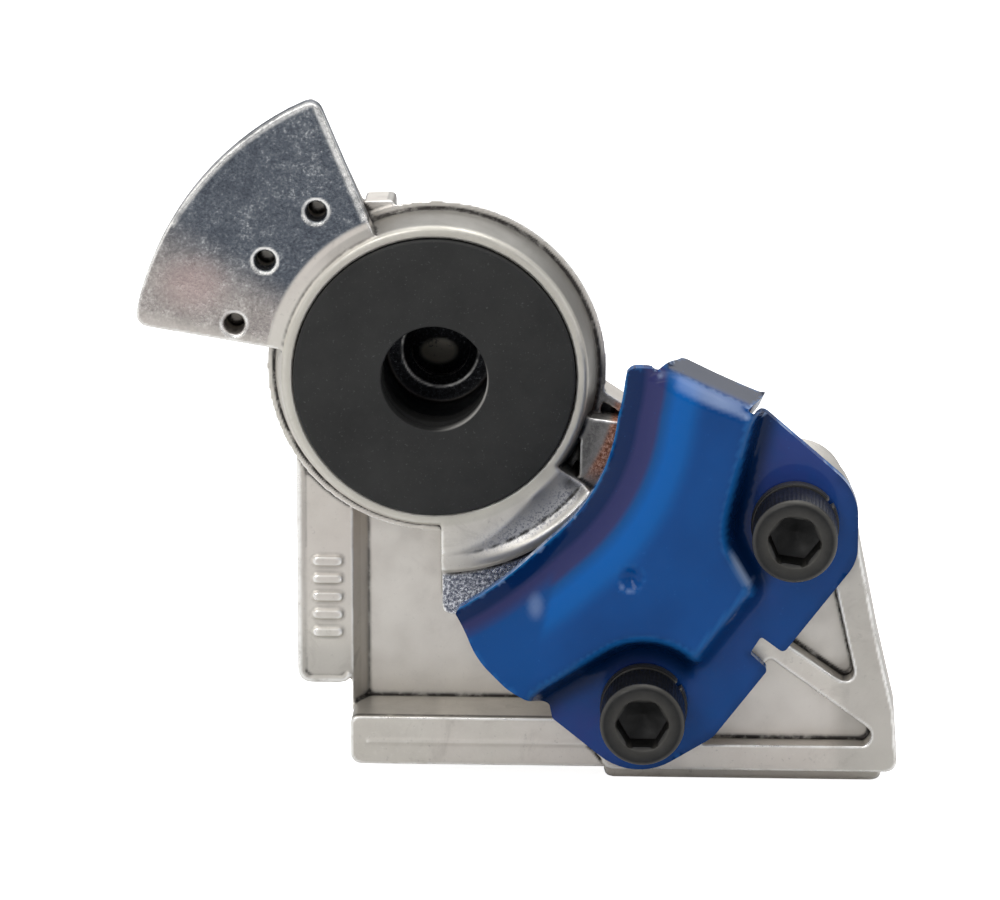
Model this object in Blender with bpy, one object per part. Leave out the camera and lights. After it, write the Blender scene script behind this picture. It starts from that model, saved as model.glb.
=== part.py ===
"""Palm coupling for a truck's air-brake hose, as the seven pieces it comes apart into.

Design frame: the seal's axis is the Y axis, +X is right, +Z is up, and the sealing face looks along -Y,
so depth grows with Y. All pieces hang from one empty, which then moves so that the middle of the
model's lowest side is the world origin. Sizes are in millimetres, and meshes are made in metres.
"""

import math

import bmesh
import bpy
from mathutils import Vector
from mathutils.geometry import delaunay_2d_cdt

MM = 0.001
GAP = 0.3                        # between pieces that touch
THIN_GAP = 0.2                   # between a screw head, its washer and the plate

# Face seal: a rubber grommet with a wide face, a neck and a lip behind the cup's undercut
SEAL_RADIUS = 19.1
SEAL_PROUD = 1.0                 # how far its face stands in front of the rim
SEAL_BORE = 7.25
SEAL_FACE_BACK = 3.0
SEAL_NECK_RADIUS = 13.8
SEAL_NECK_BACK = 5.0
SEAL_LIP_RADIUS = 15.6
SEAL_BACK = 7.4

# Cup, turned about the seal's axis
RIM_RADIUS = 21.0
CUP_ROOT_RADIUS = 22.2           # the drafted cup wall where it meets the step
STEP_RADIUS = 23.35
STEP_DEPTH = 5.9
CUP_BACK = 20.0
THROAT_RADIUS = 7.6
THROAT_FLOOR = 16.0
PASSAGE_RADIUS = 4.0
CHAMBER_FRONT, CHAMBER_BACK = 18.4, 29.5
RISER_RADIUS = 8.5

# Air duct behind the cup, and the square collar round its port
DUCT_LEFT, DUCT_RIGHT = -11.5, 19.5
PANEL_DEPTH = 10.8
DUCT_BACK = 34.0
DUCT_TOP = 13.2
PORT_X, PORT_Y = 5.5, 22.0
PORT_MOUTH_RADIUS = 10.6         # 1/2-14 pipe thread, drawn as its plain taper of 1 in 16
PORT_THREAD_LENGTH = 15.0
COLLAR_LEFT, COLLAR_RIGHT = -11.7, 23.5
COLLAR_TOP, COLLAR_BOTTOM = -48.4, -55.2
COLLAR_BACK = 36.0

# Bracket for the guide plate
POCKET_FLOOR = 10.5              # the dark hollow between the cup and the plate
BRACKET_FRONT = -1.0
WEB_FRONT = 2.5
WEB_BACK = 7.5
SOLE_BOTTOM = -57.8
SWEEP_RADIUS = 42.4              # what a mating tongue turns through, kept clear
SCREW_PLACES = {"upper": (49.4, -19.1), "lower": (28.9, -45.15)}
BOSS_RADIUS = 6.8
BOSS_BACK = 17.0

# Tongue
TONGUE_RADIUS = 41.7
TONGUE_ANGLES = (170.6, 112.6)
TONGUE_FRONT = 0.5
TONGUE_HOLE_ANGLES = (124.5, 144.5, 164.5)
TONGUE_HOLE_RING = 28.4
TONGUE_HOLE_DROP = 0.6           # the holes sit a little low on their ring
TONGUE_HOLE_RADIUS = 1.35

# Guide plate, pressed from sheet
SHEET = 2.0
EAR_FRONT = BRACKET_FRONT - GAP - SHEET
ROOF_RISE = 5.0                  # the roof's height over the ears
WALL_FOOT = 7.4                  # how far the wall round a screw starts from that screw
UPPER_WALL_RUNS = ((-0.971, 0.238), (-0.845, -0.534))    # directions square to its two straight runs
UPPER_WALL_TOP, LOWER_WALL_TOP = 9.95, 11.0
LOWER_EAR_LINE = ((28.9, -45.15), (21.0, -50.2))
OUTER_SIDE = (0.789, -0.614)     # direction from the seal to the notched side
ROOF_END, ROOF_SKIRT = 50.4, 54.6
LIP_RADIUS = 25.5
LIP_WIDTH = 6.5
LIP_RISE = 3.0
DOME_RISE = 0.8                  # the roof swells a little between the lip and the screws
DOME_MIDDLE, DOME_REACH = 13.0, 8.5
SIDE_NORMAL = (0.982, -0.191)    # square to the crease of the flared entry side
SIDE_OFFSET = 21.1
SIDE_WIDTH = 12.0
SIDE_RISE = 1.8
DIMPLE = (27.1, -25.7)
DIMPLE_RADIUS = 2.1
DIMPLE_DEPTH = 1.2
FOLD_START = (30.15, 1.04)       # the stop tab's fold line
FOLD_DIRECTION = (0.9126, -0.409)
FOLD_RADIUS = 2.8
FOLD_ANGLE = math.radians(82)
TAB_LENGTH = 9.8
TAB_WIDTH = 12.6
TAB_SLANT = 0.26
LATTICE = 1.5                    # spacing of the points inside the pressed sheet
PLATE_HOLE_RADIUS = 4.5

# Socket head cap screws, 5/16-18 by 3/4 inch, and their spring lock washers
HEAD_RADIUS = 5.8
HEAD_HEIGHT = 7.94
SHANK_RADIUS = 3.97
SHANK_LENGTH = 19.05
SOCKET_ACROSS_FLATS = 6.35
SOCKET_DEPTH = 4.2
SOCKET_TURNS = {"upper": -8, "lower": 0}
WASHER_RADIUS = 6.0
WASHER_BORE = 4.35
WASHER_THICKNESS = 2.0
WASHER_SPLIT = 10.0              # degrees of the ring left open

COLOURS = {
    "cast_metal": ((0.56, 0.54, 0.50, 1), 0.9, 0.38),
    "seal_rubber": ((0.022, 0.022, 0.022, 1), 0.0, 0.65),
    "blue_paint": ((0.005, 0.10, 0.38, 1), 0.0, 0.22),
    "black_oxide": ((0.03, 0.03, 0.028, 1), 0.8, 0.42),
    "washer_steel": ((0.06, 0.055, 0.05, 1), 0.8, 0.4),
}


# ---------- helpers ----------

def clear_scene():
    for obj in list(bpy.data.objects):
        bpy.data.objects.remove(obj)


def material(name):
    colour, metallic, roughness = COLOURS[name]
    made = bpy.data.materials.new(name)
    made.use_nodes = True
    shader = made.node_tree.nodes["Principled BSDF"]
    shader.inputs["Base Color"].default_value = colour
    shader.inputs["Metallic"].default_value = metallic
    shader.inputs["Roughness"].default_value = roughness
    made.diffuse_color = colour
    return made


def add_object(name, bm):
    """An object in metres from a bmesh drawn in millimetres, with its faces pointing out."""
    bmesh.ops.scale(bm, vec=(MM, MM, MM), verts=bm.verts)
    bmesh.ops.recalc_face_normals(bm, faces=bm.faces)
    mesh = bpy.data.meshes.new(name)
    bm.to_mesh(mesh)
    bm.free()
    obj = bpy.data.objects.new(name, mesh)
    bpy.context.scene.collection.objects.link(obj)
    return obj


def combine(target, tool, operation):
    """Joins, cuts or trims target with tool, and removes the tool."""
    modifier = target.modifiers.new(operation, "BOOLEAN")
    modifier.operation = operation
    modifier.object = tool
    evaluated = target.evaluated_get(bpy.context.evaluated_depsgraph_get())
    shape = bpy.data.meshes.new_from_object(evaluated)
    target.modifiers.clear()
    target.data = shape
    bpy.data.objects.remove(tool)


def finish(obj, slot, parent, smooth_angle=35):
    obj.data.materials.clear()
    obj.data.materials.append(material(slot))
    obj.data.shade_smooth()
    obj.data.set_sharp_from_angle(angle=math.radians(smooth_angle))
    obj.parent = parent
    return obj


def polar(radius, degrees):
    return radius * math.cos(math.radians(degrees)), radius * math.sin(math.radians(degrees))


def arc(centre, radius, start, end, steps):
    """Points along an arc, both ends included."""
    turns = [start + (end - start) * k / steps for k in range(steps + 1)]
    return [(centre[0] + polar(radius, a)[0], centre[1] + polar(radius, a)[1]) for a in turns]


def rounded(corners, steps=5):
    """Outline through corners given as (a, b, radius), each turned into an arc of its radius."""
    outline = []
    for index, (a, b, radius) in enumerate(corners):
        here = Vector((a, b))
        to_last = (Vector(corners[index - 1][:2]) - here).normalized()
        to_next = (Vector(corners[(index + 1) % len(corners)][:2]) - here).normalized()
        if radius == 0:
            outline.append((a, b))
            continue
        half = to_last.angle(to_next) / 2
        centre = here + (to_last + to_next).normalized() * (radius / math.sin(half))
        first = here + to_last * (radius / math.tan(half)) - centre
        last = here + to_next * (radius / math.tan(half)) - centre
        start = math.degrees(math.atan2(first.y, first.x))
        turn = math.degrees(math.atan2(last.y, last.x)) - start
        turn = (turn + 180) % 360 - 180
        outline += arc(centre, radius, start, start + turn, steps)
    return outline


def loft(name, sections, closed=False):
    """Solid through a row of outlines of equal length, capped at its ends unless it closes on itself."""
    bm = bmesh.new()
    rings = [[bm.verts.new(point) for point in section] for section in sections]
    if closed:
        rings.append(rings[0])
    else:
        bm.faces.new(rings[0])
        bm.faces.new(rings[-1])
    for ring, following in zip(rings, rings[1:]):
        for i in range(len(ring)):
            bm.faces.new((ring[i - 1], ring[i], following[i], following[i - 1]))
    return add_object(name, bm)


def prism(name, outline, low, high, along="Y"):
    """Extrusion of an outline from low to high; the outline is in the other two axes, in X, Y, Z order."""
    place = {
        "X": lambda a, b, t: (t, a, b),
        "Y": lambda a, b, t: (a, t, b),
        "Z": lambda a, b, t: (a, b, t),
    }[along]
    return loft(name, [[place(a, b, t) for a, b in outline] for t in (low, high)])


def block(name, x, y, z):
    return prism(name, [(x[0], z[0]), (x[1], z[0]), (x[1], z[1]), (x[0], z[1])], y[0], y[1])


def sector(name, profile_at, start, end, steps):
    """Solid swept about the seal's axis; profile_at(degrees) gives its section as (radius, depth) points."""
    sections = []
    for k in range(steps + 1):
        angle = start + (end - start) * k / steps
        points = [(polar(r, angle), y) for r, y in profile_at(angle)]
        sections.append([(x, y, z) for (x, z), y in points])
    return loft(name, sections)


def turned(name, profile, segments):
    """Solid of revolution about Y. Its profile runs from the axis to the axis, or is a closed ring."""
    on_axis = profile[0][0] == 0
    bm = bmesh.new()
    verts = [bm.verts.new((radius, y, 0)) for radius, y in profile]
    loop = verts if on_axis else verts + verts[:1]
    edges = [bm.edges.new(pair) for pair in zip(loop, loop[1:])]
    bmesh.ops.spin(bm, geom=verts + edges, cent=(0, 0, 0), axis=(0, 1, 0), dvec=(0, 0, 0),
                   angle=math.tau, steps=segments, use_merge=True)
    bmesh.ops.remove_doubles(bm, verts=bm.verts, dist=1e-4)
    return add_object(name, bm)


def cylinder(name, centre, radius, low, high, along="Y", segments=48):
    outline = arc(centre, radius, 0, 360 * (segments - 1) / segments, segments - 1)
    return prism(name, outline, low, high, along)


def ease(value):
    """Smooth step from 0 to 1."""
    value = min(max(value, 0.0), 1.0)
    return value * value * (3 - 2 * value)


# ---------- casting ----------

def cup():
    profile = [
        (0, 0), (RIM_RADIUS - 0.4, 0), (RIM_RADIUS, 0.4), (CUP_ROOT_RADIUS, STEP_DEPTH),
        (STEP_RADIUS, STEP_DEPTH), (STEP_RADIUS - 0.2, STEP_DEPTH + 0.8), (20.2, 16.5),
        (17.0, CUP_BACK), (0, CUP_BACK),
    ]
    return turned("cup", profile, 96)


def duct():
    """Box behind the cup that leads down to the port, with a round end behind the throat."""
    side = DUCT_RIGHT - DUCT_LEFT
    middle = (DUCT_LEFT + DUCT_RIGHT) / 2
    low, high = COLLAR_TOP - 1, DUCT_TOP
    outline = [(DUCT_LEFT, low), (DUCT_RIGHT, low)]
    outline += arc((middle, high - side / 2), side / 2, 0, 180, 24)
    box = prism("duct", outline, PANEL_DEPTH, DUCT_BACK)
    across = [(DUCT_LEFT - 1, PANEL_DEPTH - 1, 0), (DUCT_RIGHT + 1, PANEL_DEPTH - 1, 0),
              (DUCT_RIGHT + 1, DUCT_BACK, 9), (DUCT_LEFT - 1, DUCT_BACK, 9)]
    combine(box, prism("across", rounded(across, 8), low - 1, high + 1, along="Z"), "INTERSECT")
    beside = [(PANEL_DEPTH - 1, low - 1, 0), (DUCT_BACK, low - 1, 0), (DUCT_BACK, high, 14),
              (PANEL_DEPTH - 1, high, 0)]
    combine(box, prism("beside", rounded(beside, 10), DUCT_LEFT - 1, DUCT_RIGHT + 1, along="X"), "INTERSECT")
    return box


def side_bar():
    """Flat bar down the left side, with the drafted wall that steps back from it to the panel."""
    front, left, right, bottom = 7.0, -19.45, -11.8, -45.6
    corners = [(left, -4, 0), (left, bottom, 1.8), (right, bottom, 1.8), (right, -4, 0)]
    bar = prism("bar", rounded(corners), front, 19)
    wall = [(right - 0.1, front), (right + 0.1, front), (-9.7, PANEL_DEPTH + 0.4), (-9.7, 14), (right - 0.1, 14)]
    combine(bar, prism("draft_wall", wall, COLLAR_TOP - 1, -10, along="Z"), "UNION")
    return bar


def collar():
    corners = [
        (COLLAR_LEFT, COLLAR_TOP, 1.0), (COLLAR_LEFT, COLLAR_BOTTOM, 1.4),
        (COLLAR_RIGHT, COLLAR_BOTTOM, 0), (COLLAR_RIGHT, COLLAR_TOP, 0),
    ]
    return prism("collar", rounded(corners), 0, COLLAR_BACK)


def platform_profile(angle):
    """Guide surface just outside the rim: flat, a ramp down to a crease, a rounded ridge and a step."""
    along = ease((angle + 86) / 40)
    ramp_start = 25.0 - 3.6 * along
    crease_depth = 0.15 + 1.35 * along
    return [
        (18.0, 13.0), (18.0, 0.0), (ramp_start, 0.0), (25.3, crease_depth), (25.9, crease_depth * 0.6),
        (26.6, 0.15), (27.4, 0.3), (28.0, 0.9), (28.3, WEB_FRONT + 0.2), (28.6, 13.0),
    ]


def guide_platform():
    """Raised ground between the cup and the plate, with the dark pocket at its upper end."""
    ring = sector("guide_ring", platform_profile, -96, -37, 24)
    combine(ring, block("left_trim", (-9, 0.9), (-2, 15), (-32, -15)), "DIFFERENCE")
    corners = [
        (0.9, -12, 0), (0.9, -34.3, 1.2), (24, -34.3, 0), (44, -34, 0), (48.2, -10.8, 0),
        (27.5, -6.1, 0), (20, -1.2, 0),
    ]
    ground = prism("ground", rounded(corners), WEB_FRONT, 12.5)
    pocket_profile = [(18, -3), (27.6, -3), (27.2, WEB_FRONT), (25.2, POCKET_FLOOR), (18, POCKET_FLOOR)]
    pocket = sector("pocket", lambda angle: pocket_profile, -37, 8, 18)
    wall = [(18, -1.6), (27.5, -7.6), (40, -10.4), (40, 9), (18, 9)]
    combine(pocket, prism("pocket_top", wall, STEP_DEPTH, 14), "DIFFERENCE")
    combine(ground, pocket, "DIFFERENCE")
    combine(ground, ring, "UNION")
    return ground


def bracket_edge():
    """Outline shared by the web and the frame, from the upper boss round to the sole."""
    boss = arc((47.7, -19.8), 9.9, 88, 8, 10)
    side = [(58.3, -23.6), (60.8, -36.2), (63.2, -46.6)]
    foot = arc((62.3, -53.8), 1.4, 0, -90, 4)
    return boss + side + foot


def web():
    """The bracket's floor, and the sole that stands out below it behind the front edge."""
    outline = bracket_edge() + [(21, -55.2), (19, -34), (20, -6)]
    slab = prism("web", outline, WEB_FRONT, WEB_BACK)
    sole = [(23.2, -50, 0), (23.2, SOLE_BOTTOM, 1.2), (61.6, SOLE_BOTTOM, 1.2), (61.6, -50, 0)]
    combine(slab, prism("sole", rounded(sole), WEB_FRONT + 1.4, WEB_BACK + 2), "UNION")
    return slab


def frame():
    """Ribs, screw pads and border that stand in front of the web, with two triangular recesses."""
    outline = bracket_edge() + arc((24.4, -53.8), 1.4, -90, -180, 4)
    outline += [(18.6, -49), (18.6, -40), (26, -32), (40, -14), (43.5, -9.8)]
    front = prism("frame", outline, BRACKET_FRONT, WEB_FRONT + 1)
    combine(front, cylinder("sweep", (0, 0), SWEEP_RADIUS, -4, 8, segments=96), "DIFFERENCE")
    recesses = {
        "recess_upper": [(54.4, -26.4, 0.8), (58.4, -43.9, 1.3), (46.9, -35.9, 0.8)],
        "recess_lower": [(46.0, -39.0, 0.8), (60.6, -49.6, 1.3), (59.3, -51.5, 1.0), (35.5, -51.5, 0.8)],
    }
    for name, corners in recesses.items():
        combine(front, prism(name, rounded(corners), -4, WEB_FRONT), "DIFFERENCE")
    return front


def screw_boss(place):
    return cylinder("boss", place, BOSS_RADIUS, WEB_BACK - 1, BOSS_BACK)


def tongue():
    """Sector that hooks under a mating plate: thin at its edge, thick round its holes, ribbed behind."""
    low, high = TONGUE_ANGLES
    corner = 1.8
    inner = [(*polar(15, high), 0), (*polar(15, low), 0)]
    arc_points = arc((0, 0), TONGUE_RADIUS, low, high, 20)
    ends = [(*arc_points[0], corner), (*arc_points[-1], corner)]
    middle = [(x, z, 0) for x, z in arc_points[2:-2]]
    plate = prism("tongue", rounded(inner + ends[:1] + middle + ends[1:]), TONGUE_FRONT, 3.6)
    root = [(15, TONGUE_FRONT + 0.6), (31.8, TONGUE_FRONT + 0.6), (31.2, 7.4), (15, 9.0)]
    combine(plate, sector("tongue_root", lambda angle: root, low - 1, high + 1, 16), "UNION")
    rib = [(38.0, 3.0), (TONGUE_RADIUS - 0.25, 3.0), (TONGUE_RADIUS - 0.5, 5.7), (38.3, 5.7)]
    combine(plate, sector("edge_rib", lambda angle: rib, 145.5, high + 1.5, 12), "UNION")
    spoke = [(15, 3.0), (TONGUE_RADIUS - 1, 3.0), (TONGUE_RADIUS - 1.2, 5.7), (15, 8.0)]
    combine(plate, sector("side_rib", lambda angle: spoke, high + 4.5, high + 0.8, 3), "UNION")
    for angle in TONGUE_HOLE_ANGLES:
        x, z = polar(TONGUE_HOLE_RING, angle)
        combine(plate, tongue_hole((x, z - TONGUE_HOLE_DROP)), "DIFFERENCE")
    return plate


def tongue_hole(place):
    """Blind hole with a countersunk mouth."""
    radius = TONGUE_HOLE_RADIUS
    rows = [(-1.0, radius + 1.95), (TONGUE_FRONT + 0.45, radius), (6.0, radius)]
    sections = []
    for depth, size in rows:
        ring = arc(place, size, 0, 345, 23)
        sections.append([(x, depth, z) for x, z in ring])
    return loft("tongue_hole", sections)


def small_lug():
    """Pad on the cup's upper left side, behind the step."""
    corners = [(-9.9, 19.5, 0), (-5.7, 19.5, 0), (-5.7, 23.3, 0.8), (-9.9, 23.1, 0.3)]
    return prism("lug", rounded(corners), 6.1, 12.2)


def back_rib():
    """Rib behind the web that ties the lower screw boss to the duct."""
    return block("back_rib", (17, 28), (WEB_BACK - 1, 15), (-46.6, -43.4))


def air_way():
    """Cutters for the air's path: seal seat and throat, chamber, riser and threaded port."""
    profile = [
        (0, -3), (SEAL_RADIUS + GAP, -3), (SEAL_RADIUS + GAP, SEAL_FACE_BACK + GAP),
        (SEAL_NECK_RADIUS + GAP, SEAL_FACE_BACK + GAP), (SEAL_NECK_RADIUS + GAP, SEAL_NECK_BACK - GAP),
        (SEAL_LIP_RADIUS + GAP, SEAL_NECK_BACK - GAP), (SEAL_LIP_RADIUS + GAP, SEAL_BACK + GAP),
        (THROAT_RADIUS, SEAL_BACK + GAP), (THROAT_RADIUS, THROAT_FLOOR),
        (PASSAGE_RADIUS + 1.2, THROAT_FLOOR), (PASSAGE_RADIUS, THROAT_FLOOR + 1.2),
        (PASSAGE_RADIUS, CHAMBER_FRONT + 2), (0, CHAMBER_FRONT + 2),
    ]
    seat = turned("seal_seat", profile, 80)
    left, right = PORT_X - RISER_RADIUS - 4, PORT_X + RISER_RADIUS - 1
    corners = [(left, -20, 5), (right, -20, 5), (right, 5, 6), (left, 5, 6)]
    chamber = prism("chamber", rounded(corners), CHAMBER_FRONT, CHAMBER_BACK)
    place = (PORT_X, PORT_Y)
    riser = cylinder("riser", place, RISER_RADIUS, -50, -13, along="Z", segments=40)
    mouth = PORT_MOUTH_RADIUS
    rows = [
        (COLLAR_BOTTOM - 2, mouth + 2.8), (COLLAR_BOTTOM + 0.8, mouth),
        (COLLAR_BOTTOM + PORT_THREAD_LENGTH, mouth - PORT_THREAD_LENGTH / 32),
    ]
    rings = [[(x, y, z) for x, y in arc(place, size, 4, 356, 43)] for z, size in rows]
    return [seat, chamber, riser, loft("port", rings)]


def coupling_body():
    body = cup()
    pieces = [duct(), side_bar(), collar(), web(), frame(), guide_platform(), tongue(), small_lug()]
    pieces += [screw_boss(place) for place in SCREW_PLACES.values()]
    pieces.append(back_rib())
    for piece in pieces:
        combine(body, piece, "UNION")
    for cutter in air_way():
        combine(body, cutter, "DIFFERENCE")
    for place in SCREW_PLACES.values():
        hole = cylinder("screw_hole", place, SHANK_RADIUS + GAP, BRACKET_FRONT - 1, BOSS_BACK - 1.5)
        combine(body, hole, "DIFFERENCE")
    body.name = "coupling_body"
    return body


# ---------- seal ----------

def face_seal():
    front = -SEAL_PROUD
    profile = [
        (SEAL_BORE, front + 0.4), (SEAL_BORE + 0.4, front), (SEAL_RADIUS - 0.6, front),
        (SEAL_RADIUS, front + 0.6), (SEAL_RADIUS, SEAL_FACE_BACK), (SEAL_NECK_RADIUS, SEAL_FACE_BACK),
        (SEAL_NECK_RADIUS, SEAL_NECK_BACK), (SEAL_LIP_RADIUS, SEAL_NECK_BACK),
        (SEAL_LIP_RADIUS - 0.6, SEAL_BACK), (SEAL_BORE, SEAL_BACK),
    ]
    return turned("face_seal", profile, 80)


# ---------- guide plate ----------

def segment_distance(x, z, line):
    start, end = Vector(line[0]), Vector(line[1])
    span = end - start
    share = min(max((Vector((x, z)) - start).dot(span) / span.length_squared, 0), 1)
    return (Vector((x, z)) - start - span * share).length


def lip_edge(angle):
    """Radius of the plate's inner edge: an arc that opens out towards both of its ends."""
    radius = LIP_RADIUS + 0.08 * max(0.0, angle + 6)
    if angle < -50:
        radius += 4.0 * ((-50 - angle) / 33.4) ** 1.6
    return radius


def upper_ear_distance(x, z):
    """How far a point lies beyond the upper screw towards the roof, across the wall's two straight runs."""
    from_screw = Vector((x, z)) - Vector(SCREW_PLACES["upper"])
    past = [max(0.0, from_screw.dot(Vector(run))) for run in UPPER_WALL_RUNS]
    return sum(distance ** 8 for distance in past) ** (1 / 8)


def plate_rise(x, z):
    """How far the sheet stands in front of its ears at a point of its plan."""
    roof = ease((upper_ear_distance(x, z) - WALL_FOOT) / (UPPER_WALL_TOP - WALL_FOOT))
    roof *= ease((segment_distance(x, z, LOWER_EAR_LINE) - WALL_FOOT) / (LOWER_WALL_TOP - WALL_FOOT))
    outward = OUTER_SIDE[0] * x + OUTER_SIDE[1] * z
    roof *= ease((ROOF_SKIRT - outward) / (ROOF_SKIRT - ROOF_END))
    from_edge = math.hypot(x, z) - lip_edge(math.degrees(math.atan2(z, x)))
    lip = LIP_RISE * max(0.0, 1 - max(0.0, from_edge) / LIP_WIDTH) ** 2
    dome = DOME_RISE * ease(1 - abs(from_edge - DOME_MIDDLE) / DOME_REACH)
    past_crease = SIDE_OFFSET - SIDE_NORMAL[0] * x - SIDE_NORMAL[1] * z
    side = SIDE_RISE * max(0.0, past_crease / SIDE_WIDTH) ** 1.3
    to_dimple = math.hypot(x - DIMPLE[0], z - DIMPLE[1])
    dimple = DIMPLE_DEPTH * ease(1 - to_dimple / DIMPLE_RADIUS)
    return (ROOF_RISE + lip + dome + side) * roof - dimple


def plate_outline():
    """The sheet's flat pattern: its plan, with the stop tab laid out flat beyond the fold."""
    inner = [polar(lip_edge(a), a) for a in range(-82, 6, 4)]
    start = Vector(FOLD_START)
    along = Vector(FOLD_DIRECTION)
    outward = Vector((-along.y, along.x))
    slant = along * TAB_SLANT * TAB_LENGTH
    tab = [start + outward * TAB_LENGTH + slant, start + along * TAB_WIDTH + outward * TAB_LENGTH + slant]
    corners = [(27.0, 4.2, 1.3), (29.9, 3.7, 1.0), (30.9, 3.6, 0.5), (*tab[0], 1.2), (*tab[1], 0.9)]
    corners += [(42.9, -2.1, 0.4), (44.6, -3.0, 1.0), (58.0, -14.65, 8.0), (58.0, -24.5, 6.0), (48.0, -37.6, 0.7),
                (44.9, -35.3, 0.4), (43.4, -37.7, 0.4), (45.9, -40.0, 0.7), (38.4, -49.8, 5.0),
                (27.55, -56.4, 8.5), (16.3, -47.3, 0.9), (15.9, -45.3, 0.9), (10.4, -41.6, 9.0),
                (6.0, -36.9, 12.0), (3.45, -30.0, 0), (3.7, -29.4, 0)]
    return inner + rounded(corners)


def resample(outline, spacing):
    """Same closed outline with extra points wherever two are further apart than spacing."""
    points = []
    for here, following in zip(outline, outline[1:] + outline[:1]):
        steps = max(1, math.ceil(math.dist(here, following) / spacing))
        for k in range(steps):
            share = k / steps
            points.append((here[0] + (following[0] - here[0]) * share,
                           here[1] + (following[1] - here[1]) * share))
    return points


def inside(point, outline):
    """Even-odd test of a point against a closed outline."""
    odd = False
    for (ax, ay), (bx, by) in zip(outline, outline[1:] + outline[:1]):
        if (ay > point[1]) != (by > point[1]):
            crossing = ax + (point[1] - ay) / (by - ay) * (bx - ax)
            odd ^= point[0] < crossing
    return odd


def edge_distance(point, outline):
    return min(math.dist(point, other) for other in outline)


def sheet_triangles(outline, holes, spacing):
    """Triangulated plan of the sheet, with a hexagonal lattice of points inside it."""
    border = resample(outline, spacing)
    loops = [border] + holes
    points = [point for loop in loops for point in loop]
    edges = []
    first = 0
    for loop in loops:
        edges += [(first + i, first + (i + 1) % len(loop)) for i in range(len(loop))]
        first += len(loop)
    fixed = list(points)
    xs, zs = zip(*border)
    row_step = spacing * math.sqrt(3) / 2
    for row in range(int((max(zs) - min(zs)) / row_step) + 1):
        for column in range(int((max(xs) - min(xs)) / spacing) + 1):
            place = (min(xs) + (column + 0.5 * (row % 2)) * spacing, min(zs) + row * row_step)
            if inside(place, border) and edge_distance(place, fixed) > spacing * 0.6:
                points.append(place)
    found = delaunay_2d_cdt([Vector(p) for p in points], edges, [], 0, 1e-6)
    plan = [tuple(v) for v in found[0]]
    faces = []
    for face in found[2]:
        middle = (sum(plan[i][0] for i in face) / 3, sum(plan[i][1] for i in face) / 3)
        if inside(middle, border) and not any(inside(middle, hole) for hole in holes):
            faces.append(tuple(face))
    return plan, faces


def sheet_point(x, z, depth):
    """Place in space of a point of the flat pattern, depth millimetres behind the outer surface."""
    start, along = Vector(FOLD_START), Vector(FOLD_DIRECTION)
    outward = Vector((-along.y, along.x))
    offset = Vector((x, z)) - start
    past, beside = offset.dot(outward), offset.dot(along)
    slanted = beside - TAB_SLANT * past
    folded = ease((slanted + 2.2) / 2.0) * ease((TAB_WIDTH + 1.3 - slanted) / 1.0)
    if past <= 0 or folded == 0:
        return x, EAR_FRONT - plate_rise(x, z) + depth, z
    foot = start + along * beside
    turn = min(past / FOLD_RADIUS, FOLD_ANGLE * folded)
    straight = past - turn * FOLD_RADIUS
    out = (FOLD_RADIUS - depth) * math.sin(turn) + straight * math.cos(turn)
    back = FOLD_RADIUS - (FOLD_RADIUS - depth) * math.cos(turn) + straight * math.sin(turn)
    rise = plate_rise(*(foot + outward * past * (1 - folded)))
    return foot.x + outward.x * out, EAR_FRONT - rise + back, foot.y + outward.y * out


def guide_plate():
    holes = [arc(place, PLATE_HOLE_RADIUS, 0, 345, 23) for place in SCREW_PLACES.values()]
    plan, faces = sheet_triangles(plate_outline(), holes, LATTICE)
    bm = bmesh.new()
    outer = [bm.verts.new(sheet_point(x, z, 0)) for x, z in plan]
    inner = [bm.verts.new(sheet_point(x, z, SHEET)) for x, z in plan]
    for a, b, c in faces:
        bm.faces.new((outer[a], outer[b], outer[c]))
        bm.faces.new((inner[c], inner[b], inner[a]))
    bm.verts.index_update()
    partner = {top.index: bottom for top, bottom in zip(outer, inner)}
    rim = [edge for edge in bm.edges if edge.is_boundary and edge.verts[0].index < len(outer)]
    for edge in rim:
        one, two = edge.verts
        bm.faces.new((one, two, partner[two.index], partner[one.index]))
    loose = [v for v in bm.verts if not v.link_faces]
    bmesh.ops.delete(bm, geom=loose, context="VERTS")
    return add_object("guide_plate", bm)


# ---------- fasteners ----------

def cap_screw(name, turn):
    """Socket head cap screw along +Y, its head's underside at the origin and its socket turned by turn."""
    profile = [
        (0, -HEAD_HEIGHT), (HEAD_RADIUS - 0.35, -HEAD_HEIGHT), (HEAD_RADIUS, -HEAD_HEIGHT + 0.35),
        (HEAD_RADIUS, 0), (SHANK_RADIUS, 0), (SHANK_RADIUS, SHANK_LENGTH - 1),
        (SHANK_RADIUS - 1, SHANK_LENGTH), (0, SHANK_LENGTH),
    ]
    screw = turned(name, profile, 48)
    corner = SOCKET_ACROSS_FLATS / math.sqrt(3)
    floor = SOCKET_DEPTH - HEAD_HEIGHT
    rows = [(-HEAD_HEIGHT - 1, corner + 1.2), (-HEAD_HEIGHT + 0.2, corner), (floor, corner),
            (floor + 1.1, corner * 0.35)]
    first = 30 + turn
    sections = [[(x, y, z) for x, z in arc((0, 0), size, first, first + 300, 5)] for y, size in rows]
    combine(screw, loft("socket", sections), "DIFFERENCE")
    screw.name = name
    return screw


def lock_washer(name):
    """Split spring washer, pressed flat, with its front face at the origin."""
    ring = [(WASHER_BORE, 0), (WASHER_RADIUS, 0), (WASHER_RADIUS, WASHER_THICKNESS),
            (WASHER_BORE, WASHER_THICKNESS)]
    start = 40
    return sector(name, lambda angle: ring, start, start + 360 - WASHER_SPLIT, 40)


# ---------- assembly ----------

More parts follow.
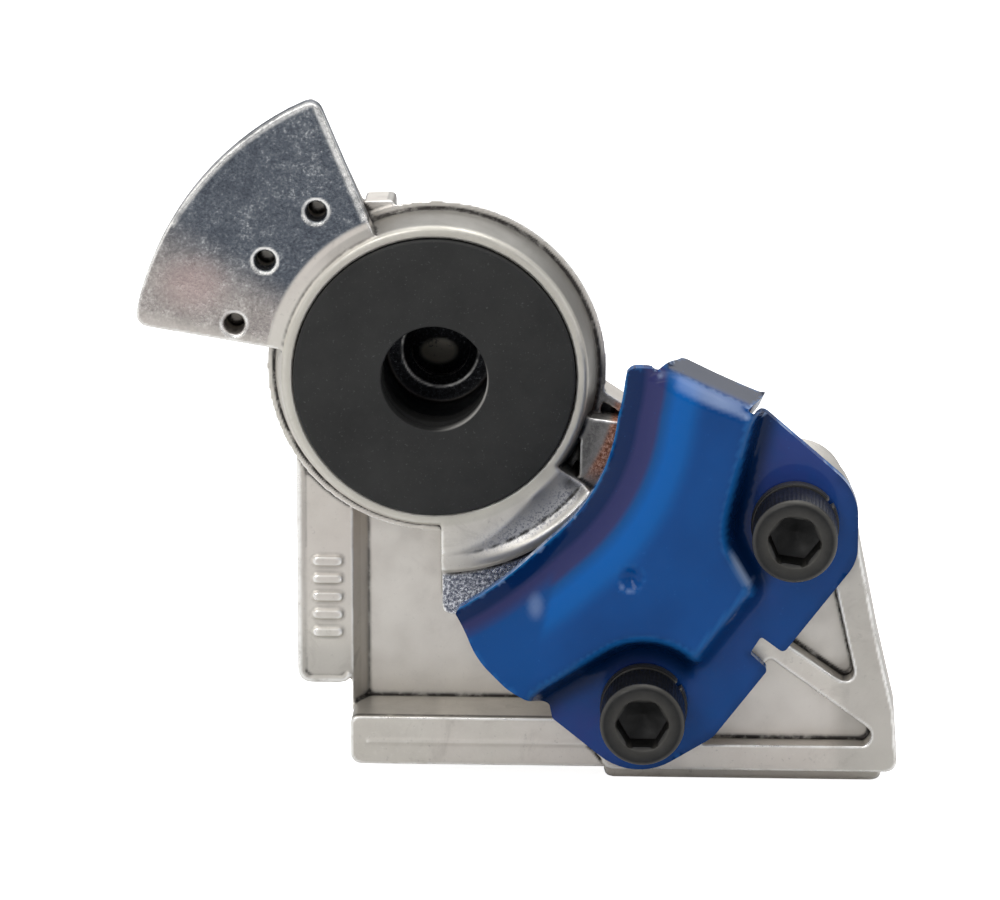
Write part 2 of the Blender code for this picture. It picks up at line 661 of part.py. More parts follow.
def settle(parent):
    """Moves everything so that the middle of the lowest side of the model's box is the origin."""
    bpy.context.view_layer.update()
    corners = [obj.matrix_world @ v.co for obj in parent.children for v in obj.data.vertices]
    low = [min(c[axis] for c in corners) for axis in range(3)]
    high = [max(c[axis] for c in corners) for axis in range(3)]
    parent.location = (-(low[0] + high[0]) / 2, -(low[1] + high[1]) / 2, -low[2])


def main():
    clear_scene()
    seal_axis = bpy.data.objects.new("seal_axis", None)
    bpy.context.scene.collection.objects.link(seal_axis)
    finish(coupling_body(), "cast_metal", seal_axis, 30)
    finish(face_seal(), "seal_rubber", seal_axis)
    finish(guide_plate(), "blue_paint", seal_axis, 50)
    washer_front = EAR_FRONT - THIN_GAP - WASHER_THICKNESS
    for name, (x, z) in SCREW_PLACES.items():
        washer = finish(lock_washer("lock_washer_" + name), "washer_steel", seal_axis)
        washer.location = (x * MM, washer_front * MM, z * MM)
        screw = finish(cap_screw("cap_screw_" + name, SOCKET_TURNS[name]), "black_oxide", seal_axis)
        screw.location = (x * MM, (washer_front - THIN_GAP) * MM, z * MM)
    settle(seal_axis)


main()
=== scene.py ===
"""Air brake palm coupling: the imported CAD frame, dressed for one studio picture.

Sizes below are millimetres in the coupling's own frame: the seal's axis is the origin of X and Z, and depth
is measured back from the rim's front plane. spot() turns such a place into metres in the row frame.
"""
import math

import bmesh
import bpy
import numpy as np
from mathutils import Matrix, Vector
from mathutils.geometry import delaunay_2d_cdt


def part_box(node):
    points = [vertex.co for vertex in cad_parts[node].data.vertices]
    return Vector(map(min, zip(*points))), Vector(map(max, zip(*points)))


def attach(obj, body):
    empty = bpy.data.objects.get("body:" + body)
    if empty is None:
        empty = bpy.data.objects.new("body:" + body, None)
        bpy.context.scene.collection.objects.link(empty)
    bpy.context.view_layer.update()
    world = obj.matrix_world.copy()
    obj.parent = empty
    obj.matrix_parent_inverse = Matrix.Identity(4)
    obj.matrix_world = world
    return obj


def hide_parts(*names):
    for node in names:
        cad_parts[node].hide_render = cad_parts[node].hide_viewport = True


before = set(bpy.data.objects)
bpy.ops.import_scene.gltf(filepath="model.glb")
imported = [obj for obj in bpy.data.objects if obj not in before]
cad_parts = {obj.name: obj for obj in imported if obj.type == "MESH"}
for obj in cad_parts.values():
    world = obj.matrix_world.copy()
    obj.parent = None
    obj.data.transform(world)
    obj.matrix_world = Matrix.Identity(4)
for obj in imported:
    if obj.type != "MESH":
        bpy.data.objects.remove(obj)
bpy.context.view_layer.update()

MM = 0.001
seal_low, seal_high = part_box("face_seal")
AXIS_X = (seal_low.x + seal_high.x) / 2
AXIS_Z = (seal_low.z + seal_high.z) / 2
SEAL_PROUD = 1.0                     # how far the seal's face stands in front of the rim
RIM_Y = seal_low.y + SEAL_PROUD * MM
BELOW, ABOVE = -math.inf, math.inf   # open ends of a range

# Casting
VOXEL = 0.24
SMOOTH_PASSES = 3
TONGUE_ANGLES = (112.6, 170.6)
TONGUE_HOLE_ANGLES = (124.5, 144.5, 164.5)
TONGUE_HOLE_RING = 28.4
TONGUE_HOLE_DROP = 0.6
HOLE_BORDER_RADIUS = 1.75
BAR_COUNT, BAR_TOP, BAR_PITCH, BAR_HEIGHT = 5, -28.6, 2.55, 1.1
BAR_LEFT, BAR_RIGHT = -17.2, -13.2
BORDER_LINE = ((-19.0, -14), (-19.0, -44.2), (-18.2, -45.1), (-12.9, -45.1), (-12.2, -44.4))
COLLAR_LINE = ((-9.5, -51.9), (21.8, -51.9))
NARROW_BEND, WIDE_BEND = 6, 60       # averaging passes that tell a fine edge from a broad hollow

# Seal
SEAL_RADIUS, SEAL_BORE, SEAL_BACK = 19.28, 7.25, 7.4
SEAL_NECK_RADIUS, SEAL_LIP_RADIUS = 13.8, 15.6

# Guide plate, the same press shape as in the CAD
SHEET = 2.0
EAR_FRONT = -3.3
ROOF_RISE = 5.0
WALL_FOOT = 7.4
UPPER_WALL_RUNS = ((-0.971, 0.238), (-0.845, -0.534))
UPPER_WALL_TOP, LOWER_WALL_TOP = 9.95, 11.0
LOWER_EAR_LINE = ((28.9, -45.15), (21.0, -50.2))
OUTER_SIDE = (0.789, -0.614)
ROOF_END, ROOF_SKIRT = 50.4, 54.6
LIP_RADIUS, LIP_WIDTH, LIP_RISE = 25.5, 6.5, 3.0
DOME_RISE, DOME_MIDDLE, DOME_REACH = 0.8, 13.0, 8.5
SIDE_NORMAL, SIDE_OFFSET = (0.982, -0.191), 21.1
SIDE_WIDTH, SIDE_RISE = 12.0, 1.8
DIMPLE, DIMPLE_RADIUS, DIMPLE_DEPTH = (27.1, -25.7), 2.1, 1.2
FOLD_START, FOLD_DIRECTION = (30.15, 1.04), (0.9126, -0.409)
FOLD_RADIUS, FOLD_ANGLE = 2.8, math.radians(82)
TAB_LENGTH, TAB_WIDTH, TAB_SLANT = 9.8, 12.6, 0.26
LATTICE, QUICK_LATTICE = 0.6, 1.5
PLATE_EDGE_ROUND = 0.35
# The bands of colour below are painted reflections and highlights along the plate's inner edge.
BAND_WIDTH = 12                      # how far from its inner edge the plate's bands of colour reach
PLATE_HOLE_RADIUS = 4.5
SCREW_PLACES = {"upper": (49.4, -19.1), "lower": (28.9, -45.15)}

# Screws and washers
HEAD_RADIUS, HEAD_HEIGHT = 5.8, 7.94
SHANK_RADIUS, SHANK_LENGTH = 3.97, 19.05
SOCKET_ACROSS_FLATS, SOCKET_DEPTH = 6.35, 4.2
SOCKET_TURNS = {"upper": -8, "lower": 0}
SOCKET_CHAMFER = 0.12
KNURL_COUNT, KNURL_DEPTH = 60, 0.10
WASHER_RADIUS, WASHER_BORE, WASHER_THICKNESS, WASHER_SPLIT = 6.0, 4.35, 2.0, 10.0
WASHER_START, WASHER_STEPS = 40, 90
THIN_GAP = 0.2

# View
VIEW_AZIMUTH, VIEW_ELEVATION = math.radians(2.5), math.radians(14.5)
VIEW_DISTANCE = 1.0
VIEW_LENS = 263.9
AIM_RIGHT, AIM_DOWN = 8.96, 9.93     # picture centre from the rim's centre

# Studio, in metres: name, place, size, power, colour
LIT_POINT = (0, 0, 0.045)
LIGHTS = (
    ("key", (-0.45, -0.75, 0.75), (0.5, 0.5), 3.2, (1.0, 0.985, 0.96)),
    ("top", (0.1, 0.05, 0.95), (0.9, 0.7), 4.2, (1, 1, 1)),
    ("left", (-0.95, -0.25, 0.25), (0.4, 0.7), 1.3, (1, 1, 1)),
    ("right", (0.9, -0.35, 0.35), (0.2, 0.7), 0.8, (1, 1, 1)),
    ("back", (0.1, 0.9, 0.6), (0.9, 0.6), 2.2, (1, 1, 1)),
    ("strip_high", (-0.30, -0.85, 0.10), (0.05, 0.9), 0.6, (1, 1, 1)),
    ("strip_side", (0.65, -0.75, 0.30), (0.05, 0.9), 0.4, (1, 1, 1)),
)
AIR_BELOW, AIR_ABOVE, AIR_STRENGTH = (0.30, 0.29, 0.30, 1), (0.75, 0.78, 0.82, 1), 0.75
FLOOR_HALF_WIDTH, FLOOR_GLOW = 3.0, 0.92


# ---------- helpers ----------

def spot(x, depth, z):
    return Vector((AXIS_X + x * MM, RIM_Y + depth * MM, AXIS_Z + z * MM))


def polar(radius, degrees):
    return radius * math.cos(math.radians(degrees)), radius * math.sin(math.radians(degrees))


def arc(centre, radius, start, end, steps):
    turns = [start + (end - start) * k / steps for k in range(steps + 1)]
    return [(centre[0] + polar(radius, a)[0], centre[1] + polar(radius, a)[1]) for a in turns]


def rounded(corners, steps=10):
    """Outline through corners given as (a, b, radius), each turned into an arc of its radius."""
    outline = []
    for index, (a, b, radius) in enumerate(corners):
        here = Vector((a, b))
        to_last = (Vector(corners[index - 1][:2]) - here).normalized()
        to_next = (Vector(corners[(index + 1) % len(corners)][:2]) - here).normalized()
        if radius == 0:
            outline.append((a, b))
            continue
        half = to_last.angle(to_next) / 2
        centre = here + (to_last + to_next).normalized() * (radius / math.sin(half))
        first = here + to_last * (radius / math.tan(half)) - centre
        last = here + to_next * (radius / math.tan(half)) - centre
        start = math.degrees(math.atan2(first.y, first.x))
        turn = math.degrees(math.atan2(last.y, last.x)) - start
        turn = (turn + 180) % 360 - 180
        outline += arc(centre, radius, start, start + turn, steps)
    return outline


def ease(value):
    value = min(max(value, 0.0), 1.0)
    return value * value * (3 - 2 * value)


def add_piece(name, bm, material, smooth_angle=40):
    """An object in the row frame from a bmesh whose places are already spot() places."""
    bmesh.ops.recalc_face_normals(bm, faces=bm.faces)
    mesh = bpy.data.meshes.new(name)
    bm.to_mesh(mesh)
    bm.free()
    obj = bpy.data.objects.new(name, mesh)
    bpy.context.scene.collection.objects.link(obj)
    mesh.materials.append(material)
    mesh.shade_smooth()
    mesh.set_sharp_from_angle(angle=math.radians(smooth_angle))
    return obj


def stand_for(piece, node):
    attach(piece, "root")
    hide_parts(node)


def loft(bm, sections):
    """Adds a closed solid through a row of outlines of equal length, capped at both ends."""
    rings = [[bm.verts.new(spot(*point)) for point in section] for section in sections]
    bm.faces.new(rings[0])
    bm.faces.new(rings[-1])
    for ring, following in zip(rings, rings[1:]):
        for i in range(len(ring)):
            bm.faces.new((ring[i - 1], ring[i], following[i], following[i - 1]))


def turned(bm, centre, profile, segments, shape=None):
    """Rings of vertices about a depth axis through centre; shape(radius, depth, degrees) may bend them."""
    x0, z0 = centre
    rings = []
    for radius, depth in profile:
        ring = []
        for k in range(segments):
            angle = 360 * k / segments
            reach = shape(radius, depth, angle) if shape else radius
            x, z = polar(reach, angle)
            ring.append(bm.verts.new(spot(x0 + x, depth, z0 + z)))
        rings.append(ring)
    return rings


def join_rings(bm, rings, closed):
    pairs = list(zip(rings, rings[1:]))
    if closed:
        pairs.append((rings[-1], rings[0]))
    for ring, following in pairs:
        for i in range(len(ring)):
            bm.faces.new((ring[i - 1], ring[i], following[i], following[i - 1]))


# ---------- materials ----------

class Nodes:
    """Short ways to add shader nodes to one material."""

    def __init__(self, name):
        self.material = bpy.data.materials.new(name)
        self.material.use_nodes = True
        self.tree = self.material.node_tree
        self.shader = self.tree.nodes["Principled BSDF"]
        self.coords = self.tree.nodes.new("ShaderNodeTexCoord").outputs["Object"]

    def link(self, source, target):
        self.tree.links.new(source, target)

    def put(self, kind, **inputs):
        node = self.tree.nodes.new(kind)
        for key, value in inputs.items():
            socket = node.inputs[key.replace("_", " ")]
            if isinstance(value, bpy.types.NodeSocket):
                self.link(value, socket)
            else:
                socket.default_value = value
        return node

    def noise(self, scale, detail=3.0, roughness=0.55, distortion=0.0):
        node = self.put("ShaderNodeTexNoise", Scale=scale, Detail=detail, Roughness=roughness,
                        Distortion=distortion)
        self.link(self.coords, node.inputs["Vector"])
        return node.outputs["Fac"]

    def attribute(self, name):
        node = self.tree.nodes.new("ShaderNodeAttribute")
        node.attribute_name = name
        return node.outputs["Fac"]

    def spread(self, value, low, high, to_low=0.0, to_high=1.0):
        node = self.tree.nodes.new("ShaderNodeMapRange")
        self.link(value, node.inputs["Value"])
        for key, number in (("From Min", low), ("From Max", high), ("To Min", to_low), ("To Max", to_high)):
            node.inputs[key].default_value = number
        return node.outputs["Result"]

    def maths(self, operation, first, second):
        node = self.tree.nodes.new("ShaderNodeMath")
        node.operation = operation
        for socket, value in zip(node.inputs, (first, second)):
            if isinstance(value, bpy.types.NodeSocket):
                self.link(value, socket)
            else:
                socket.default_value = value
        return node.outputs[0]

    def ramp(self, value, stops):
        node = self.tree.nodes.new("ShaderNodeValToRGB")
        self.link(value, node.inputs["Fac"])
        points = node.color_ramp.elements
        while len(points) < len(stops):
            points.new(0.5)
        for point, (place, colour) in zip(points, stops):
            point.position = place
            point.color = (*colour, 1)
        return node.outputs["Color"]

    def mix(self, factor, first, second, blend="MIX"):
        node = self.tree.nodes.new("ShaderNodeMix")
        node.data_type = "RGBA"
        node.blend_type = blend
        for socket, value in zip((node.inputs[0], node.inputs[6], node.inputs[7]), (factor, first, second)):
            if isinstance(value, bpy.types.NodeSocket):
                self.link(value, socket)
            elif isinstance(value, tuple):
                socket.default_value = (*value, 1)
            else:
                socket.default_value = value
        return node.outputs[2]

    def tint(self, base, mask, strength, colour):
        """Lays a colour over base where mask is high, at most at the given strength."""
        return self.mix(self.maths("MULTIPLY", mask, strength), base, colour)

    def bump(self, height, strength, distance, normal=None):
        node = self.put("ShaderNodeBump", Height=height, Strength=strength, Distance=distance)
        if normal is not None:
            self.link(normal, node.inputs["Normal"])
        return node.outputs["Normal"]

    def set(self, **values):
        for key, value in values.items():
            socket = self.shader.inputs[key.replace("_", " ")]
            if isinstance(value, bpy.types.NodeSocket):
                self.link(value, socket)
            elif isinstance(value, tuple):
                socket.default_value = (*value, 1)
            else:
                socket.default_value = value
        return self.material


def casting_skin(n):
    """Soft beige die-cast skin with stains, blushes and dark flecks."""
    skin = n.ramp(n.spread(n.noise(55, 3, 0.6), 0.3, 0.7), [
        (0.0, (0.60, 0.565, 0.505)), (1.0, (0.72, 0.685, 0.62))])
    skin = n.mix(n.spread(n.noise(260, 4, 0.6), 0.45, 0.75, 0.0, 0.30), skin, (0.56, 0.53, 0.49))
    skin = n.mix(n.spread(n.noise(1900, 4, 0.7), 0.55, 0.8, 0.0, 0.25), skin, (0.90, 0.88, 0.83))
    skin = n.tint(skin, n.spread(n.noise(150, 5, 0.7, 1.2), 0.55, 0.72), 0.5, (0.38, 0.35, 0.31))
    skin = n.tint(skin, n.spread(n.noise(38, 3, 0.5), 0.45, 0.65), 0.5, (0.66, 0.60, 0.555))
    return n.tint(skin, n.spread(n.noise(1200, 3, 0.8), 0.62, 0.72), 0.35, (0.30, 0.28, 0.26))


def casting_mottle(n, patches, fine):
    """Height and tone of the mottled tongue: broad clouds, patches and fine grain together."""
    mottle = n.maths("ADD", n.maths("MULTIPLY", patches, 0.38), n.maths("MULTIPLY", fine, 0.47))
    return n.maths("ADD", mottle, n.maths("MULTIPLY", n.noise(130, 3, 0.5), 0.15))


def tongue_face(n, mottle):
    """Bluish mottled metal with a painted reflection that turns it warm and light, with a pink patch, towards
    the tongue's low end.
    """
    steel = n.ramp(n.spread(mottle, 0.38, 0.63), [
        (0.0, (0.055, 0.063, 0.080)), (0.45, (0.105, 0.119, 0.142)), (0.72, (0.18, 0.195, 0.215)),
        (1.0, (0.55, 0.56, 0.57))])
    warm = n.ramp(n.spread(mottle, 0.36, 0.66), [
        (0.0, (0.22, 0.20, 0.19)), (0.5, (0.42, 0.38, 0.355)), (1.0, (0.75, 0.72, 0.68))])
    # Painted reflection: warm and lighter towards the low end, with a pink patch.
    tongue = n.mix(n.attribute("tongue_low_reflection"), steel, warm)
    return n.tint(tongue, n.attribute("tongue_pink_reflection"), 0.5, (0.50, 0.36, 0.34))


def speckled_ground(n, colour, fine):
    """The speckled ground, dotted ramp, shaded flank and copper tint between the cup and the plate."""
    spots = n.ramp(n.spread(n.noise(2300, 3, 0.8), 0.42, 0.62), [
        (0.0, (0.10, 0.11, 0.15)), (0.45, (0.30, 0.31, 0.35)), (1.0, (0.86, 0.87, 0.90))])
    colour = n.mix(n.attribute("speckle"), colour, spots)
    dots = n.spread(n.noise(2600, 2, 0.8), 0.50, 0.60)
    colour = n.tint(colour, n.attribute("ramp"), 0.85, (0.93, 0.92, 0.90))
    dark_dots = n.maths("MULTIPLY", n.attribute("ramp"), n.maths("MULTIPLY", dots, 0.75))
    colour = n.mix(dark_dots, colour, (0.16, 0.16, 0.21))
    # Painted shade with brush marks on the cup's wall in the pocket.
    brushed_in_painted_shade = n.mix(n.spread(fine, 0.4, 0.7), (0.055, 0.053, 0.052), (0.21, 0.20, 0.19))
    colour = n.tint(colour, n.attribute("shade"), 0.85, brushed_in_painted_shade)
    # Copper-coloured grain for the patch on the pocket's far wall.
    copper_grain = n.ramp(n.noise(2400, 3, 0.8), [
        (0.35, (0.12, 0.05, 0.03)), (0.5, (0.46, 0.20, 0.12)), (0.68, (0.80, 0.52, 0.40))])
    return n.mix(n.attribute("copper"), colour, copper_grain)


def throat_painted_shade_and_glint(n, colour, patches, fine):
    """Painted shade: throat and chamber near-black with specks of painted sheen, and one painted highlight
    spot, light, on the chamber's back wall.
    """
    # Painted shade in the bore and chamber, broken by light specks of painted sheen.
    black = n.ramp(fine, [
        (0.45, (0.012, 0.012, 0.014)), (0.60, (0.035, 0.038, 0.044)), (0.72, (0.20, 0.21, 0.22))])
    colour = n.mix(n.attribute("throat"), colour, black)
    glint = n.maths("MULTIPLY", n.attribute("glint"), n.spread(patches, 0.30, 0.42))
    return n.mix(glint, colour, (0.62, 0.58, 0.50))


def casting_tones(n, colour):
    """Toned surfaces with painted shade in broad hollows, then dirt and painted shade in the creases, then
    the outer edges lightened by wear and painted highlight on top.
    """
    # The cavity tone is painted shade that darkens broad hollows.
    for name, strength, tone in (
            ("rim", 0.7, (0.56, 0.535, 0.465)), ("cone", 0.85, (0.25, 0.24, 0.22)),
            ("cavity_shade", 0.42, (0.14, 0.13, 0.12)), ("panel", 0.6, (0.74, 0.70, 0.65)),
            ("margin", 0.5, (0.42, 0.40, 0.365))):
        colour = n.tint(colour, n.attribute(name), strength, tone)
    # Painted shade with dirt: the creases darkened almost to black.
    crease_dirt_and_shade = n.maths("MULTIPLY", n.attribute("crease_dirt_and_shade"), n.spread(n.noise(420, 4, 0.7), 0.22, 0.52))
    colour = n.mix(crease_dirt_and_shade, colour, (0.035, 0.031, 0.028))
    # Painted highlight with wear: the outer edges lightened, unevenly.
    uneven = n.spread(n.noise(330, 4, 0.7), 0.34, 0.54, 0.25, 0.95)
    rubbed_and_highlit = n.maths("MULTIPLY", n.attribute("wear_and_highlight"), uneven)
    return n.mix(rubbed_and_highlit, colour, (0.97, 0.95, 0.91))


def casting_metal():
    """Die-cast metal: soft beige skin, mottled bright tongue, speckled ground, dirt and painted shade in
    every corner, with painted highlights, reflections and throat shade in places.
    """
    n = Nodes("cast_metal_skin")
    patches = n.noise(700, 6, 0.72, 0.6)
    fine = n.noise(2600, 4, 0.75)
    mottle = casting_mottle(n, patches, fine)
    colour = n.mix(n.attribute("tongue"), casting_skin(n), tongue_face(n, mottle))
    colour = speckled_ground(n, colour, fine)
    colour = throat_painted_shade_and_glint(n, colour, patches, fine)
    colour = casting_tones(n, colour)

    shine = n.maths("MAXIMUM", n.attribute("tongue"), n.attribute("speckle"))
    rough = n.spread(n.noise(260, 4, 0.6), 0.3, 0.7, 0.36, 0.56)
    rough = n.maths("SUBTRACT", rough, n.maths("MULTIPLY", shine, 0.20))
    rough = n.maths("SUBTRACT", rough, n.maths("MULTIPLY", n.attribute("wear_and_highlight"), 0.15))
    normal = n.bump(n.noise(3600, 3, 0.6), 0.18, 0.00005)
    normal = n.bump(n.noise(55, 3, 0.6), 0.10, 0.0006, normal)
    normal = n.bump(n.maths("MULTIPLY", shine, mottle), 0.5, 0.00035, normal)
    metallic = n.maths("SUBTRACT", 0.78, n.maths("MULTIPLY", n.attribute("ramp"), 0.5))
    return n.set(Base_Color=colour, Roughness=rough, Normal=normal, Metallic=metallic)


def seal_rubber():
    """Matt black rubber with a little dust, and a painted highlight crescent at its mouth."""
    n = Nodes("moulded_rubber")
    cloud = n.noise(90, 4, 0.6)
    dust = n.spread(n.noise(2600, 2, 0.7), 0.64, 0.76)
    colour = n.ramp(n.spread(cloud, 0.3, 0.7), [
        (0.0, (0.018, 0.018, 0.0175)), (1.0, (0.027, 0.027, 0.026))])
    colour = n.tint(colour, dust, 0.3, (0.12, 0.12, 0.12))
    colour = n.mix(n.attribute("crescent_highlight"), colour, (0.30, 0.29, 0.27))
    rough = n.spread(n.noise(300, 3, 0.6), 0.3, 0.7, 0.55, 0.72)
    normal = n.bump(n.noise(3000, 3, 0.6), 0.12, 0.00004)
    return n.set(Base_Color=colour, Roughness=rough, Normal=normal, Specular_IOR_Level=0.25)


def plate_paint():
    """Thick glossy blue coat, toned by zone with painted reflections and shade on the lip's "band", the entry
    "side", the "ear", the "wall" and the "tab"; "glance" and the light ridge in the "band" are painted
    highlights.
    """
    n = Nodes("blue_enamel")
    colour = n.ramp(n.spread(n.noise(70, 3, 0.5), 0.3, 0.7), [
        (0.0, (0.0008, 0.048, 0.20)), (1.0, (0.0014, 0.066, 0.26))])
    # Painted reflections and highlights along the lip: a light edge line, navy and purple bands, then a
    # bright blue ridge.
    band = n.ramp(n.attribute("from_edge"), [
        (0.0, (0.010, 0.16, 0.42)), (0.035, (0.001, 0.020, 0.090)), (0.20, (0.001, 0.017, 0.085)),
        (0.27, (0.030, 0.034, 0.125)), (0.44, (0.036, 0.040, 0.135)), (0.50, (0.004, 0.075, 0.26)),
        (0.62, (0.0002, 0.105, 0.40)), (0.80, (0.0004, 0.098, 0.36)), (1.0, (0.001, 0.057, 0.23))])
    colour = n.mix(n.attribute("band"), colour, band)
    # Painted reflection: the entry side's flare a darker blue.
    colour = n.tint(colour, n.attribute("side"), 0.8, (0.0002, 0.062, 0.245))
    # Painted reflection: a purplish tint on the ears, patchy, fading at their outer end.
    ear = n.maths("MULTIPLY", n.attribute("ear"), n.spread(n.noise(110, 3, 0.6), 0.4, 0.6, 0.35, 0.75))
    colour = n.mix(ear, colour, (0.030, 0.045, 0.20))
    # Painted shade and dark reflection: the walls and the roof's skirt near-black navy.
    colour = n.mix(n.attribute("wall"), colour, (0.0006, 0.013, 0.055))
    # Painted reflection: the folded tab a dark grey-blue.
    colour = n.mix(n.attribute("tab"), colour, (0.022, 0.030, 0.055))
    # Painted highlight with wear: light blue along the sheet's outer edges.
    colour = n.tint(colour, n.attribute("wear_and_highlight"), 0.4, (0.02, 0.17, 0.48))
    colour = n.mix(n.attribute("glance"), colour, (0.42, 0.52, 0.72))
    colour = n.tint(colour, n.spread(n.noise(1500, 2, 0.6), 0.70, 0.78), 0.25, (0.02, 0.12, 0.40))
    rough = n.spread(n.noise(160, 3, 0.6), 0.3, 0.7, 0.16, 0.26)
    normal = n.bump(n.noise(120, 2, 0.5), 0.10, 0.0008)
    normal = n.bump(n.noise(1400, 2, 0.5), 0.05, 0.00006, normal)
    return n.set(Base_Color=colour, Roughness=rough, Normal=normal, Specular_IOR_Level=0.04,
                 Coat_Weight=0.28, Coat_Roughness=0.04)


def black_oxide():
    """Near-black steel with brown scuffs, made lighter along its edges by wear and painted highlight."""
    n = Nodes("black_oxide_steel")
    colour = n.ramp(n.spread(n.noise(500, 4, 0.7), 0.3, 0.7), [
        (0.0, (0.007, 0.007, 0.0068)), (1.0, (0.017, 0.0165, 0.0155))])
    # Painted highlight with wear: edges lightened.
    colour = n.tint(colour, n.attribute("wear_and_highlight"), 0.45, (0.32, 0.30, 0.26))
    colour = n.tint(colour, n.spread(n.noise(2200, 3, 0.8), 0.66, 0.74), 0.25, (0.10, 0.09, 0.08))
    rough = n.spread(n.noise(700, 3, 0.7), 0.3, 0.7, 0.34, 0.50)
    normal = n.bump(n.noise(2600, 3, 0.7), 0.15, 0.00005)
    return n.set(Base_Color=colour, Metallic=0.3, Roughness=rough, Normal=normal, Specular_IOR_Level=0.4)


# ---------- vertex detail ----------

def mesh_arrays(mesh):
    count = len(mesh.vertices)
    points = np.zeros(count * 3, np.float32)
    normals = np.zeros(count * 3, np.float32)
    edges = np.zeros(len(mesh.edges) * 2, np.int32)
    mesh.vertices.foreach_get("co", points)
    mesh.vertices.foreach_get("normal", normals)
    mesh.edges.foreach_get("vertices", edges)
    return points.reshape(-1, 3).astype(float), normals.reshape(-1, 3).astype(float), edges.reshape(-1, 2)


def spread_over(values, edges, passes):
    """Averages a per-vertex array with its neighbours, a number of times."""
    count = len(values)
    degree = np.bincount(edges.ravel(), minlength=count).astype(float)
    degree[degree == 0] = 1
    flat = values.reshape(count, -1)
    for _ in range(passes):
        total = np.empty_like(flat)
        for column in range(flat.shape[1]):
            total[:, column] = (np.bincount(edges[:, 0], flat[edges[:, 1], column], count)
                                + np.bincount(edges[:, 1], flat[edges[:, 0], column], count))
        flat = 0.5 * flat + 0.5 * total / degree[:, None]
    return flat.reshape(values.shape)


def bend(mesh, passes):
    """How much each vertex stands out from its surroundings, in millimetres: over 0 on outer edges."""
    points, normals, edges = mesh_arrays(mesh)
    settled = spread_over(points, edges, passes)
    return ((points - settled) * normals).sum(1) / MM


def store(mesh, name, values, blur=0):
    """Saves a per-vertex share from 0 to 1 under a name that the materials read."""
    if blur:
        values = spread_over(np.asarray(values, float), mesh_arrays(mesh)[2], blur)
    made = mesh.attributes.new(name, "FLOAT", "POINT")
    made.data.foreach_set("value", np.clip(values, 0, 1).astype(np.float32))


def smooth_step(values, low, high):
    share = np.clip((values - low) / (high - low), 0, 1)
    return share * share * (3 - 2 * share)


def falls(values, low, high):
    return 1 - smooth_step(values, low, high)


class Places:
    """Every vertex of a mesh in the coupling's own millimetres, with its normal."""

    def __init__(self, mesh):
        points, self.normals, _ = mesh_arrays(mesh)
        self.x = (points[:, 0] - AXIS_X) / MM
        self.depth = (points[:, 1] - RIM_Y) / MM
        self.z = (points[:, 2] - AXIS_Z) / MM
        self.radius = np.hypot(self.x, self.z)
        self.angle = np.degrees(np.arctan2(self.z, self.x))

    def within(self, **ranges):
        """Which vertices lie inside every (low, high) range given by name, such as depth=(1, 3)."""
        found = np.ones(len(self.x), bool)
        for name, (low, high) in ranges.items():
            values = getattr(self, name)
            found &= (values > low) & (values < high)
        return found

    def near(self, x, z, wide, high):
        """Distance from a point in the front view, in units of a patch's half width and half height."""
        return np.hypot((self.x - x) / wide, (self.z - z) / high)


# ---------- casting ----------

def casting_details(bm):
    """Raised lines and plain bars cast into the side bar and the collar."""
    for row in range(BAR_COUNT):
        low = BAR_TOP - BAR_PITCH * row
        high = low + BAR_HEIGHT
        corners = [(BAR_LEFT, low), (BAR_RIGHT, low), (BAR_RIGHT, high), (BAR_LEFT, high)]
        outline = rounded([(*corner, 0.5) for corner in corners], 4)
        loft(bm, [[(x, depth, z) for x, z in outline] for depth in (6.55, 7.6)])
    for start, end in zip(BORDER_LINE, BORDER_LINE[1:]):
        add_rib(bm, start, end, 0.3, 6.7, 8.0)
    add_rib(bm, *COLLAR_LINE, 0.22, -0.18, 0.6)


def add_rib(bm, start, end, half_width, front, back):
    """Straight bar on a front face, from start to end in x and z."""
    along = (Vector(end) - Vector(start)).normalized()
    side = Vector((-along.y, along.x)) * half_width
    corners = [Vector(start) - side, Vector(end) - side, Vector(end) + side, Vector(start) + side]
    loft(bm, [[(c.x, depth, c.y) for c in corners] for depth in (front, back)])


def make_casting(material):
    """The CAD casting with its cast details added, all edges softened, and its surface zones painted."""
    bm = bmesh.new()
    bm.from_mesh(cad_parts["coupling_body"].data)
    bmesh.ops.remove_doubles(bm, verts=bm.verts, dist=1e-6)
    casting_details(bm)
    piece = add_piece("casting", bm, material)
    remesh = piece.modifiers.new("remesh", "REMESH")
    remesh.mode = "VOXEL"
    remesh.voxel_size = VOXEL * MM
    remesh.use_smooth_shade = True
    soften = piece.modifiers.new("soften", "SMOOTH")
    soften.factor = 0.5
    soften.iterations = SMOOTH_PASSES
    bpy.context.view_layer.update()
    baked = bpy.data.meshes.new_from_object(piece.evaluated_get(bpy.context.evaluated_depsgraph_get()))
    piece.modifiers.clear()
    piece.data = baked
    for polygon in baked.polygons:
        polygon.material_index = 0
    paint_zones(baked)
    stand_for(piece, "coupling_body")


def worn_and_highlit_edges(at, edges):
    """Outer edges lightened as wear and painted highlight, less so on the cup's rim, and a painted highlight
    ring round each hole in the tongue.
    """
    on_rim = at.within(radius=(BELOW, 21.8), depth=(BELOW, 2))
    worn_and_highlit = smooth_step(edges, 0.022, 0.060) * (1 - 0.6 * on_rim)
    for angle in TONGUE_HOLE_ANGLES:
        x, z = polar(TONGUE_HOLE_RING, angle)
        to_hole = at.near(x, z - TONGUE_HOLE_DROP, 1, 1)
        ring = falls(np.abs(to_hole - HOLE_BORDER_RADIUS), 0.12, 0.34) * (at.depth < 1.4)
        worn_and_highlit = np.maximum(worn_and_highlit, ring)
    return worn_and_highlit


